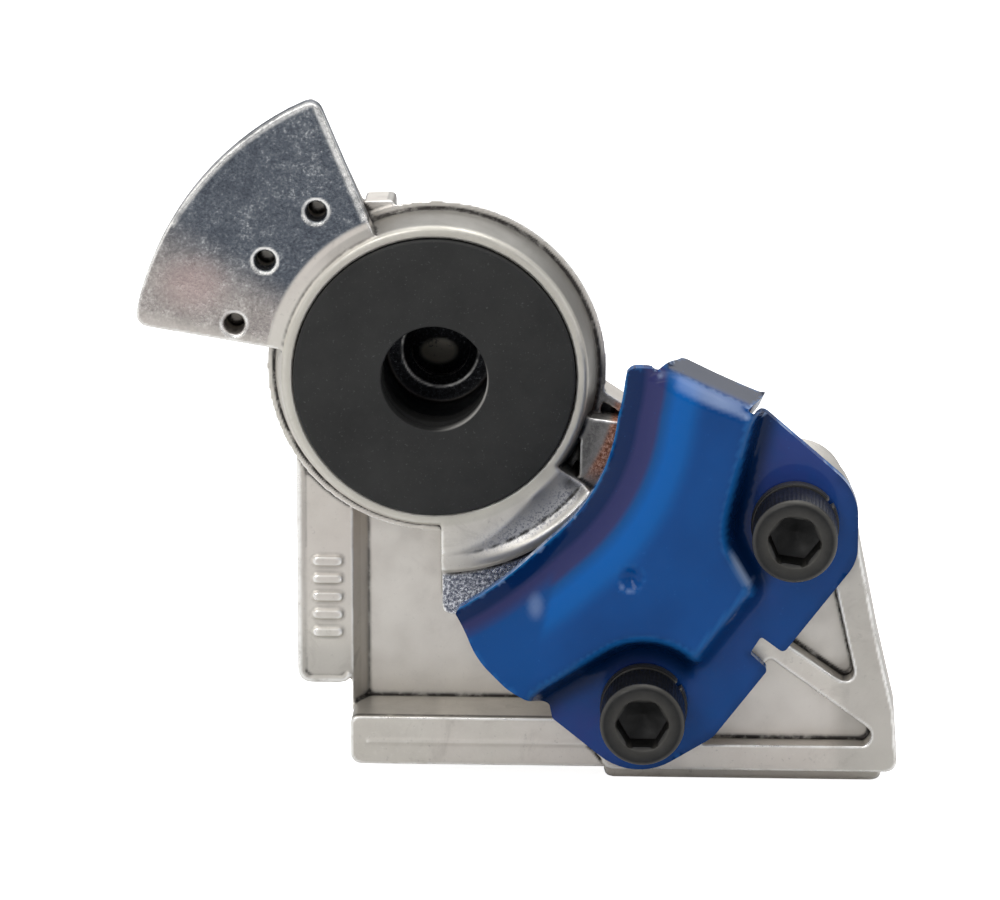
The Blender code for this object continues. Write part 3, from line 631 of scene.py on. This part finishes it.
def tongue_border(at):
    """Painted highlight along the tongue's upper side and part of its arc."""
    from_side = at.radius * np.sin(np.radians(np.clip(at.angle - TONGUE_ANGLES[0], -90, 90)))
    side = falls(from_side, 0.5, 1.0) * (from_side > -1) * (at.radius > 23.6)
    outer_arc = 0.7 * smooth_step(at.radius, 40.7, 41.2) * (at.angle < 150)
    return np.maximum(side, outer_arc) * at.within(angle=(100, 172), depth=(BELOW, 1.5), z=(0, ABOVE))


def crease_dirt_and_shade(at, edges):
    """Dirt and painted shade in the creases, less round the raised bars, and a dark line along the shelf over
    the collar.
    """
    near_bars = at.within(x=(-18.2, -12.6), z=(-42, -26), depth=(BELOW, 8))
    creases = smooth_step(-edges, 0.016, 0.048) * (at.depth > -1.2) * (1 - 0.7 * near_bars)
    shelf_line = (at.within(x=(BELOW, 23.2), z=(-48.75, -47.9))
                  * smooth_step(at.depth, 0.35, 0.7) * falls(at.depth, 1.2, 1.7))
    return np.maximum(creases, 0.75 * shelf_line)


def panel(at, edges):
    """The flat panel under the cup, and the bracket's web."""
    faces = (at.within(x=(-11, 19), z=(-48, -20), depth=(9, 12))
             | at.within(x=(20, ABOVE), z=(BELOW, -20), depth=(1.5, 3.5)))
    return faces * falls(-edges, 0.0, 0.02)


def margin(at):
    """Duller strips: the bracket's far side, the side bar's foot and the shelf's left half."""
    far_strip = smooth_step(at.x, 54, 57) * (at.z < -20) * (at.depth < 3)
    bar_foot = falls(at.z, -42, -38) * (at.x < -11.9) * (at.depth < 12)
    shelf = at.within(x=(-11.6, ABOVE), z=(-48.9, -47.6), depth=(1, 10.6)) * falls(at.x, -0.5, 1.0)
    return np.maximum(np.maximum(far_strip, bar_foot), 0.8 * shelf)


def cone(at):
    """The cup's drafted wall at its upper right, and the top of the step behind it."""
    upper_right = smooth_step(np.cos(np.radians(at.angle - 50)), -0.15, 0.45)
    wall = (upper_right * smooth_step(at.radius, 20.95, 21.15) * falls(at.radius, 22.3, 22.6)
            * smooth_step(at.depth, 0.25, 0.7) * (at.depth < 6.2))
    crown = (at.within(radius=(22.4, 24.2), depth=(BELOW, 21))
             * smooth_step(at.depth, 6.4, 7.0) * smooth_step(at.z, 0, 8))
    return np.maximum(wall, 0.8 * crown)


def tongue(at):
    """The mottled front of the tongue, which fades at its low end."""
    low, high = TONGUE_ANGLES
    front = at.within(angle=(low - 2, high + 3), depth=(BELOW, 3.4))
    return smooth_step(at.radius, 23.0, 23.6) * front * (1 - 0.75 * smooth_step(at.angle, high - 4.5, high))


def ground_below_cup(at):
    return at.within(x=(0.2, ABOVE), z=(BELOW, -5), depth=(BELOW, 9))


def speckle(at):
    return (ground_below_cup(at) * (at.z > -34.8) * smooth_step(at.radius, 28.2, 28.9)
            * smooth_step(at.depth, 1.8, 2.3) * falls(at.x, 20, 26))


def ramp(at):
    """Dotted arc that slopes up beside the cup, under the plate's lip."""
    ring = smooth_step(at.radius, 21.6, 25.2) * falls(at.radius, 25.3, 26.6)
    share = smooth_step(at.angle, -84, -60) * (at.angle < -36.5)
    return ground_below_cup(at) * share * ring * (at.depth < 2.2)


def pocket(at):
    """Surfaces inside the pocket beside the cup, without its outside and its top."""
    not_outside = (at.normals[:, 1] < 0.3) & ((at.normals[:, 2] < 0.6) | (at.z < -6))
    return at.within(x=(0, ABOVE), radius=(BELOW, 29), depth=(BELOW, 10.9)) & not_outside


def flank(at):
    """Shaded wall of the cup inside the pocket."""
    beside = smooth_step(at.angle, -43, -39) * falls(at.angle, -3, 12)
    wall = smooth_step(at.radius, 21.15, 21.7) * smooth_step(at.depth, 0.3, 0.9) * pocket(at)
    return beside * wall * (1 - 0.25 * smooth_step(at.radius, 23.4, 24.8))


def copper(at):
    """Copper-coloured patch on the pocket's far wall."""
    patch = falls(np.abs(at.angle + 22) / 16.0, 0.45, 1.0) * at.within(angle=(-36, -6))
    return patch * smooth_step(at.radius, 24.6, 25.4) * (at.depth > 2) * pocket(at)


def throat(at):
    """The bore behind the seal and the air chamber that it opens into."""
    return (at.within(radius=(-1, 7.9), depth=(8, 18.6))
            | at.within(x=(-7, 13), z=(-19, 4.6), depth=(18.0, 29.8)))


def paint_zones(mesh):
    """Stores, vertex by vertex, each zone that casting_metal() treats on its own."""
    at = Places(mesh)
    edges = bend(mesh, NARROW_BEND)
    # Painted highlight: a light spot on the chamber's back wall, as if lit through the port.
    glint = throat(at) * (at.depth > 24) * falls(at.near(-0.9, -3.5, 2.7, 1.9), 0.75, 1.1)
    zones = {
        "wear_and_highlight": np.maximum(worn_and_highlit_edges(at, edges), tongue_border(at)),
        "crease_dirt_and_shade": crease_dirt_and_shade(at, edges),
        # Painted shade: broad hollows, found by wide averaging, darkened.
        "cavity_shade": smooth_step(-bend(mesh, WIDE_BEND), 0.10, 0.45),
        "panel": panel(at, edges),
        "margin": margin(at),
        "rim": falls(at.radius, 20.9, 21.2) * (at.depth < 0.5),
        "cone": cone(at),
        "tongue": tongue(at),
        # Painted reflection on the tongue: its low end and a pink patch.
        "tongue_low_reflection": smooth_step(at.angle, 146, 161),
        "tongue_pink_reflection": falls(at.near(-33, 12.5, 6.0, 5.0), 0.2, 1.1),
        "speckle": speckle(at),
        "ramp": ramp(at),
        "shade": flank(at),
        "throat": throat(at),
        "glint": glint,
        "copper": copper(at),
    }
    for name, share in zones.items():
        store(mesh, name, share)


# ---------- seal ----------

def make_seal(material):
    """The rubber grommet, turned as one closed ring: wide face, neck and lip."""
    front = -SEAL_PROUD
    profile = [
        (SEAL_BORE + 1.2, 2.6), (SEAL_BORE, 1.4), (SEAL_BORE, front),
        (SEAL_RADIUS, front), (SEAL_RADIUS, 3.0), (SEAL_NECK_RADIUS, 3.0), (SEAL_NECK_RADIUS, 5.0),
        (SEAL_LIP_RADIUS, 5.0),
        (SEAL_LIP_RADIUS - 0.5, SEAL_BACK), (SEAL_BORE + 0.1, SEAL_BACK), (SEAL_BORE + 0.1, 4.2),
    ]
    corners = [(a, b, 0.3) for a, b in profile]
    bm = bmesh.new()
    rings = turned(bm, (0, 0), rounded(corners, 4), 160)
    join_rings(bm, rings, True)
    piece = add_piece("face_seal_rubber", bm, material, 50)
    at = Places(piece.data)
    # Painted highlight: a light crescent along the bore's front edge, at its lower right.
    mouth = falls(np.abs(at.radius - SEAL_BORE - 0.05), 0.05, 0.22) * (at.depth < 0.2)
    store(piece.data, "crescent_highlight", mouth * falls(np.abs(at.angle + 35), 18, 60))
    stand_for(piece, "face_seal")


# ---------- guide plate ----------

def segment_distance(x, z, line):
    """Distance in the front view from a point to a line between two points."""
    start, end = Vector(line[0]), Vector(line[1])
    span = end - start
    share = min(max((Vector((x, z)) - start).dot(span) / span.length_squared, 0), 1)
    return (Vector((x, z)) - start - span * share).length


def lip_edge(angle):
    """Radius of the plate's inner edge: an arc that opens out towards both of its ends."""
    radius = LIP_RADIUS + 0.08 * max(0.0, angle + 6)
    if angle < -50:
        radius += 4.0 * ((-50 - angle) / 33.4) ** 1.6
    return radius


def upper_ear_distance(x, z):
    """How far a point lies beyond the upper screw towards the roof, across the wall's two straight runs."""
    from_screw = Vector((x, z)) - Vector(SCREW_PLACES["upper"])
    past = [max(0.0, from_screw.dot(Vector(run))) for run in UPPER_WALL_RUNS]
    return sum(distance ** 8 for distance in past) ** (1 / 8)


def plate_rise(x, z):
    """How far the sheet stands in front of its ears at a point of its plan."""
    roof = ease((upper_ear_distance(x, z) - WALL_FOOT) / (UPPER_WALL_TOP - WALL_FOOT))
    roof *= ease((segment_distance(x, z, LOWER_EAR_LINE) - WALL_FOOT) / (LOWER_WALL_TOP - WALL_FOOT))
    outward = OUTER_SIDE[0] * x + OUTER_SIDE[1] * z
    roof *= ease((ROOF_SKIRT - outward) / (ROOF_SKIRT - ROOF_END))
    from_edge = math.hypot(x, z) - lip_edge(math.degrees(math.atan2(z, x)))
    lip = LIP_RISE * max(0.0, 1 - max(0.0, from_edge) / LIP_WIDTH) ** 2
    dome = DOME_RISE * ease(1 - abs(from_edge - DOME_MIDDLE) / DOME_REACH)
    past_crease = SIDE_OFFSET - SIDE_NORMAL[0] * x - SIDE_NORMAL[1] * z
    side = SIDE_RISE * max(0.0, past_crease / SIDE_WIDTH) ** 1.3
    to_dimple = math.hypot(x - DIMPLE[0], z - DIMPLE[1])
    dimple = DIMPLE_DEPTH * ease(1 - to_dimple / DIMPLE_RADIUS)
    return (ROOF_RISE + lip + dome + side) * roof - dimple


def plate_outline():
    """The sheet's flat pattern: its plan, with the stop tab laid out flat beyond the fold."""
    inner = [polar(lip_edge(a), a) for a in range(-82, 6, 2)]
    start = Vector(FOLD_START)
    along = Vector(FOLD_DIRECTION)
    outward = Vector((-along.y, along.x))
    slant = along * TAB_SLANT * TAB_LENGTH
    tab = [start + outward * TAB_LENGTH + slant, start + along * TAB_WIDTH + outward * TAB_LENGTH + slant]
    corners = [(27.0, 4.2, 1.3), (29.9, 3.7, 1.0), (30.9, 3.6, 0.5), (*tab[0], 1.2), (*tab[1], 0.9)]
    corners += [(42.9, -2.1, 0.4), (44.6, -3.0, 1.0), (58.0, -14.65, 8.0), (58.0, -24.5, 6.0),
                (48.0, -37.6, 0.7), (44.9, -35.3, 0.4), (43.4, -37.7, 0.4), (45.9, -40.0, 0.7),
                (38.4, -49.8, 5.0),
                (27.55, -56.4, 8.5), (16.3, -47.3, 0.9), (15.9, -45.3, 0.9), (10.4, -41.6, 9.0),
                (6.0, -36.9, 12.0), (3.45, -30.0, 0), (3.7, -29.4, 0)]
    return inner + rounded(corners)


def resample(outline, spacing):
    """Same closed outline with extra points wherever two are further apart than spacing."""
    points = []
    for here, following in zip(outline, outline[1:] + outline[:1]):
        steps = max(1, math.ceil(math.dist(here, following) / spacing))
        for k in range(steps):
            share = k / steps
            points.append((here[0] + (following[0] - here[0]) * share,
                           here[1] + (following[1] - here[1]) * share))
    return points


def inside(points, outline):
    """Even-odd test of many points, as an array, against a closed outline."""
    odd = np.zeros(len(points), bool)
    for (ax, ay), (bx, by) in zip(outline, outline[1:] + outline[:1]):
        if ay == by:
            continue
        crossing = ax + (points[:, 1] - ay) / (by - ay) * (bx - ax)
        odd ^= ((ay > points[:, 1]) != (by > points[:, 1])) & (points[:, 0] < crossing)
    return odd


def sheet_triangles(outline, holes, spacing):
    """Triangulated plan of the sheet, with a hexagonal lattice of points inside it."""
    border = resample(outline, spacing)
    loops = [border] + holes
    fixed = np.array([point for loop in loops for point in loop])
    edges = []
    first = 0
    for loop in loops:
        edges += [(first + i, first + (i + 1) % len(loop)) for i in range(len(loop))]
        first += len(loop)
    low, high = fixed.min(0), fixed.max(0)
    row_step = spacing * math.sqrt(3) / 2
    row_count = int((high[1] - low[1]) / row_step) + 1
    column_count = int((high[0] - low[0]) / spacing) + 1
    rows, columns = np.mgrid[0:row_count, 0:column_count]
    lattice = np.stack([low[0] + (columns + 0.5 * (rows % 2)) * spacing, low[1] + rows * row_step], -1)
    lattice = lattice.reshape(-1, 2)
    lattice = lattice[inside(lattice, border)]
    for hole in holes:
        lattice = lattice[~inside(lattice, hole)]
    nearest = np.array([np.hypot(*(fixed - point).T).min() for point in lattice])
    lattice = lattice[nearest > spacing * 0.6]
    points = [Vector(point) for point in fixed.tolist() + lattice.tolist()]
    found = delaunay_2d_cdt(points, edges, [], 0, 1e-6)
    plan = np.array([tuple(v) for v in found[0]])
    faces = np.array([tuple(face) for face in found[2]])
    middles = plan[faces].mean(1)
    keep = inside(middles, border)
    for hole in holes:
        keep &= ~inside(middles, hole)
    return plan, faces[keep]


def sheet_point(x, z, depth):
    """Place in space of a point of the flat pattern, depth millimetres behind the outer surface."""
    start, along = Vector(FOLD_START), Vector(FOLD_DIRECTION)
    outward = Vector((-along.y, along.x))
    offset = Vector((x, z)) - start
    past, beside = offset.dot(outward), offset.dot(along)
    slanted = beside - TAB_SLANT * past
    folded = ease((slanted + 2.2) / 2.0) * ease((TAB_WIDTH + 1.3 - slanted) / 1.0)
    if past <= 0 or folded == 0:
        return x, EAR_FRONT - plate_rise(x, z) + depth, z
    foot = start + along * beside
    turn = min(past / FOLD_RADIUS, FOLD_ANGLE * folded)
    straight = past - turn * FOLD_RADIUS
    out = (FOLD_RADIUS - depth) * math.sin(turn) + straight * math.cos(turn)
    back = FOLD_RADIUS - (FOLD_RADIUS - depth) * math.cos(turn) + straight * math.sin(turn)
    rise = plate_rise(*(foot + outward * past * (1 - folded)))
    return foot.x + outward.x * out, EAR_FRONT - rise + back, foot.y + outward.y * out


def make_plate(material):
    """The pressed sheet: an outer and an inner skin joined round every edge, with softened corners."""
    spacing = LATTICE
    holes = [arc(place, PLATE_HOLE_RADIUS, 0, 354, 59) for place in SCREW_PLACES.values()]
    plan, faces = sheet_triangles(plate_outline(), holes, spacing)
    bm = bmesh.new()
    outer = [bm.verts.new(spot(*sheet_point(x, z, 0))) for x, z in plan]
    inner = [bm.verts.new(spot(*sheet_point(x, z, SHEET))) for x, z in plan]
    for a, b, c in faces:
        bm.faces.new((outer[a], outer[b], outer[c]))
        bm.faces.new((inner[c], inner[b], inner[a]))
    bm.verts.index_update()
    partner = {top.index: bottom for top, bottom in zip(outer, inner)}
    rim = [edge for edge in bm.edges if edge.is_boundary and edge.verts[0].index < len(outer)]
    for edge in rim:
        one, two = edge.verts
        bm.faces.new((one, two, partner[two.index], partner[one.index]))
    bmesh.ops.delete(bm, geom=[v for v in bm.verts if not v.link_faces], context="VERTS")
    piece = add_piece("guide_plate_enamel", bm, material, 60)
    bevel = piece.modifiers.new("edge", "BEVEL")
    bevel.width = PLATE_EDGE_ROUND * MM
    bevel.segments = 3
    bevel.limit_method = "ANGLE"
    bevel.angle_limit = math.radians(60)
    bpy.context.view_layer.update()
    baked = bpy.data.meshes.new_from_object(piece.evaluated_get(bpy.context.evaluated_depsgraph_get()))
    piece.modifiers.clear()
    piece.data = baked
    paint_plate(baked)
    stand_for(piece, "guide_plate")


def plate_walls(at, outward, past_crease):
    """Painted shade and dark reflection on the walls between the roof and the ears, and on the skirt at the
    roof's outer end.
    """
    upper = np.array([upper_ear_distance(*place) for place in zip(at.x, at.z)])
    lower = np.array([segment_distance(*place, LOWER_EAR_LINE) for place in zip(at.x, at.z)])
    walls = [smooth_step(far, 5.0, WALL_FOOT) * falls(far, top - 0.9, top + 0.3)
             for far, top in ((upper, UPPER_WALL_TOP), (lower, LOWER_WALL_TOP))]
    steep = falls(-at.normals[:, 1], 0.62, 0.93)
    skirt = smooth_step(outward, ROOF_END - 0.3, ROOF_END + 1.2) * steep
    dark = np.maximum(np.maximum(*walls) * falls(outward, 52, 54), 0.7 * skirt)
    return dark * (past_crease < 0) * (at.z < 1)


def plate_glance(at, edges, from_edge):
    """Light lines painted along the creases and the inner lip, and one soft spot near the lip."""
    creases = (0.65 * smooth_step(edges, 0.025, 0.07) * smooth_step(at.normals[:, 2], 0.18, 0.5)
               * (at.normals[:, 1] < -0.3) * (from_edge > 3))
    inward = -(at.normals[:, 0] * at.x + at.normals[:, 2] * at.z) / at.radius
    lip_line = (0.6 * smooth_step(inward, 0.10, 0.40) * falls(inward, 0.85, 0.98) * (from_edge < 0.8)
                * falls(np.abs(at.angle + 45), 12, 42))
    spot_light = 0.25 * falls(at.near(14.2, -29.8, 1.5, 2.6), 0.2, 1.0)
    return np.maximum(np.maximum(creases, lip_line), spot_light) * (at.normals[:, 1] < 0.2)


def paint_plate(mesh):
    """Where the plate's coat carries painted reflections, shade and highlights: along its lip, on the walls,
    on the entry side, on the ears.
    """
    at = Places(mesh)
    edges = bend(mesh, 3)
    from_edge = at.radius - np.array([lip_edge(a) for a in at.angle])
    roof = smooth_step(EAR_FRONT - at.depth, 1.5, 4.5)
    past_crease = SIDE_OFFSET - SIDE_NORMAL[0] * at.x - SIDE_NORMAL[1] * at.z
    side = smooth_step(past_crease, -0.6, 0.6)
    outward = OUTER_SIDE[0] * at.x + OUTER_SIDE[1] * at.z
    band = (at.normals[:, 1] < 0.3) * roof * falls(from_edge, 9, 12.5)
    ear = (1 - roof) * (at.depth < EAR_FRONT + 0.3) * (at.z < 0)
    fold = Vector(FOLD_START)
    past_fold = (at.x - fold.x) * -FOLD_DIRECTION[1] + (at.z - fold.y) * FOLD_DIRECTION[0]
    tab = smooth_step(past_fold, 1.9, 2.6) * smooth_step(at.depth, -7.2, -5.8)
    # Painted highlight with wear along the sheet's convex edges.
    store(mesh, "wear_and_highlight", smooth_step(edges, 0.05, 0.14))
    store(mesh, "from_edge", from_edge / BAND_WIDTH)
    store(mesh, "band", band * (1 - side * smooth_step(from_edge, 5.0, 6.5)))
    store(mesh, "side", side * smooth_step(from_edge, 3.5, 6.0))
    store(mesh, "wall", plate_walls(at, outward, past_crease), 3)
    store(mesh, "ear", ear * (1 - 0.8 * smooth_step(outward, 47, 58)), 3)
    store(mesh, "glance", plate_glance(at, edges, from_edge))
    store(mesh, "tab", tab * (at.x > fold.x) * (at.z > -2.6), 3)


# ---------- fasteners ----------

def make_screw(name, material):
    """Socket head cap screw: chamfered, finely knurled head, hexagon socket with a drilled floor."""
    x, z = SCREW_PLACES[name]
    under = EAR_FRONT - WASHER_THICKNESS - 2 * THIN_GAP
    front = under - HEAD_HEIGHT
    corner = SOCKET_ACROSS_FLATS / math.sqrt(3)
    turn = SOCKET_TURNS[name]

    def reach(radius, depth, angle):
        """Radius at an angle: a negative one is a share of the hexagon, and the head's side is knurled."""
        if radius < 0:
            past_flat = (angle - turn) % 60 - 30
            flat = SOCKET_ACROSS_FLATS / 2 / math.cos(math.radians(past_flat))
            return min(flat * (-radius), corner * 0.985)
        if radius > HEAD_RADIUS - 0.12 and front + 0.9 < depth < under - 0.5:
            return radius - KNURL_DEPTH * (0.5 + 0.5 * math.cos(math.radians(angle * KNURL_COUNT)))
        return radius

    floor = front + SOCKET_DEPTH
    profile = [(0.02, floor + 1.6), (2.35, floor + 0.25)]
    profile += [(-0.97, floor), (-1.0, floor - 0.2), (-1.0, front + 0.45)]
    profile += [(corner, front + 0.08), (corner + SOCKET_CHAMFER, front)]
    for inset, behind_front in ((0.75, 0), (0.6, 0.03), (0.12, 0.5), (0.02, 0.75), (0, 1.0)):
        profile.append((HEAD_RADIUS - inset, front + behind_front))
    for inset, before_foot in ((0, 0.6), (0.05, 0.15), (0.25, 0)):
        profile.append((HEAD_RADIUS - inset, under - before_foot))
    profile += [(SHANK_RADIUS + 0.25, under), (SHANK_RADIUS, under + 0.25)]
    profile += [(SHANK_RADIUS, under + SHANK_LENGTH - 1), (SHANK_RADIUS - 1, under + SHANK_LENGTH),
                (0.02, under + SHANK_LENGTH)]
    bm = bmesh.new()
    rings = turned(bm, (x, z), profile, 360, reach)
    join_rings(bm, rings, False)
    bm.faces.new(rings[0])
    bm.faces.new(rings[-1])
    piece = add_piece("screw_" + name, bm, material, 35)
    at = Places(piece.data)
    # Painted highlight: a light ring on the head's chamfer and a fainter one at the socket's mouth, kept with
    # the edge wear.
    radius = at.near(x, z, 1, 1)
    rim = falls(np.abs(radius - (HEAD_RADIUS - 0.30)), 0.05, 0.30)
    mouth = 0.3 * falls(np.abs(radius - corner), 0.05, 0.25)
    store(piece.data, "wear_and_highlight", np.maximum(rim, mouth) * (at.depth < front + 0.6))
    stand_for(piece, "cap_screw_" + name)


def make_washer(name, material):
    """Spring washer: a split ring of trapezoid wire whose ends stand slightly apart."""
    x0, z0 = SCREW_PLACES[name]
    front = EAR_FRONT - THIN_GAP - WASHER_THICKNESS
    back = EAR_FRONT - THIN_GAP
    wire = [(WASHER_BORE, front + 0.1, 0.15), (WASHER_RADIUS, front, 0.25), (WASHER_RADIUS, back, 0.25),
            (WASHER_BORE, back - 0.1, 0.15)]
    outline = rounded(wire, 3)
    bm = bmesh.new()
    sections = []
    for k in range(WASHER_STEPS + 1):
        angle = WASHER_START + (360 - WASHER_SPLIT) * k / WASHER_STEPS
        section = []
        for r, depth in outline:
            dx, dz = polar(r, angle)
            section.append((x0 + dx, depth, z0 + dz))
        sections.append(section)
    loft(bm, sections)
    piece = add_piece("washer_" + name, bm, material, 50)
    # Painted highlight with wear on the washer's outer edges.
    store(piece.data, "wear_and_highlight", smooth_step(bend(piece.data, 1), 0.01, 0.06))
    stand_for(piece, "lock_washer_" + name)


# ---------- studio ----------

def camera():
    """A long lens that looks down a little, aimed right of and below the rim's centre."""
    a, e = VIEW_AZIMUTH, VIEW_ELEVATION
    right = Vector((math.cos(a), math.sin(a), 0))
    up = Vector((-math.sin(a) * math.sin(e), math.cos(a) * math.sin(e), math.cos(e)))
    back = right.cross(up)
    data = bpy.data.cameras.new("camera")
    data.lens = VIEW_LENS
    data.sensor_width = 36
    data.clip_end = 50
    obj = bpy.data.objects.new("camera", data)
    bpy.context.scene.collection.objects.link(obj)
    placed = Matrix((right, up, back)).transposed().to_4x4()
    placed.translation = spot(0, 0, 0) + right * AIM_RIGHT * MM - up * AIM_DOWN * MM + back * VIEW_DISTANCE
    obj.matrix_world = placed
    bpy.context.scene.camera = obj


def area_light(name, place, size, power, colour):
    """Rectangular soft light that points at the middle of the object."""
    data = bpy.data.lights.new(name, "AREA")
    data.shape = "RECTANGLE"
    data.size, data.size_y = size
    data.energy = power
    data.color = colour
    obj = bpy.data.objects.new(name, data)
    bpy.context.scene.collection.objects.link(obj)
    obj.location = place
    obj.rotation_euler = (Vector(LIT_POINT) - Vector(place)).to_track_quat("-Z", "Y").to_euler()


def studio():
    for light in LIGHTS:
        area_light(*light)
    studio_air()
    studio_floor()
    bpy.context.scene.view_settings.view_transform = "Standard"


def studio_air():
    """White to the camera; what the metal and paint mirror is a soft sweep, bright above and darker below."""
    world = bpy.data.worlds.new("studio")
    bpy.context.scene.world = world
    world.use_nodes = True
    tree = world.node_tree
    seen = tree.nodes["Background"]
    mirrored = tree.nodes.new("ShaderNodeBackground")
    coords = tree.nodes.new("ShaderNodeTexCoord")
    split = tree.nodes.new("ShaderNodeSeparateXYZ")
    height = tree.nodes.new("ShaderNodeMapRange")
    tones = tree.nodes.new("ShaderNodeValToRGB")
    mixer = tree.nodes.new("ShaderNodeMixShader")
    path = tree.nodes.new("ShaderNodeLightPath")
    link = tree.links.new
    link(coords.outputs["Generated"], split.inputs["Vector"])
    link(split.outputs["Z"], height.inputs["Value"])
    height.inputs["From Min"].default_value = -0.2
    link(height.outputs["Result"], tones.inputs["Fac"])
    tones.color_ramp.elements[0].color = AIR_BELOW
    tones.color_ramp.elements[1].color = AIR_ABOVE
    link(tones.outputs["Color"], mirrored.inputs["Color"])
    mirrored.inputs["Strength"].default_value = AIR_STRENGTH
    seen.inputs["Color"].default_value = (1, 1, 1, 1)
    link(path.outputs["Is Camera Ray"], mixer.inputs[0])
    link(mirrored.outputs["Background"], mixer.inputs[1])
    link(seen.outputs["Background"], mixer.inputs[2])
    link(mixer.outputs["Shader"], tree.nodes["World Output"].inputs["Surface"])


def studio_floor():
    """Plain white floor that glows to the camera only, so that it looks almost evenly white."""
    bm = bmesh.new()
    bmesh.ops.create_grid(bm, x_segments=8, y_segments=8, size=FLOOR_HALF_WIDTH)
    n = Nodes("pale_floor")
    tone = n.ramp(n.noise(3, 2, 0.5), [(0.3, (0.80, 0.80, 0.80)), (0.7, (0.84, 0.84, 0.84))])
    n.set(Base_Color=tone, Roughness=0.8, Specular_IOR_Level=0.0, Emission_Color=(1, 1, 1))
    path = n.tree.nodes.new("ShaderNodeLightPath")
    n.set(Emission_Strength=n.maths("MULTIPLY", path.outputs["Is Camera Ray"], FLOOR_GLOW))
    add_piece("floor", bm, n.material)


def main():
    oxide = black_oxide()
    make_casting(casting_metal())
    make_seal(seal_rubber())
    make_plate(plate_paint())
    for name in SCREW_PLACES:
        make_screw(name, oxide)
        make_washer(name, oxide)
    camera()
    studio()


main()
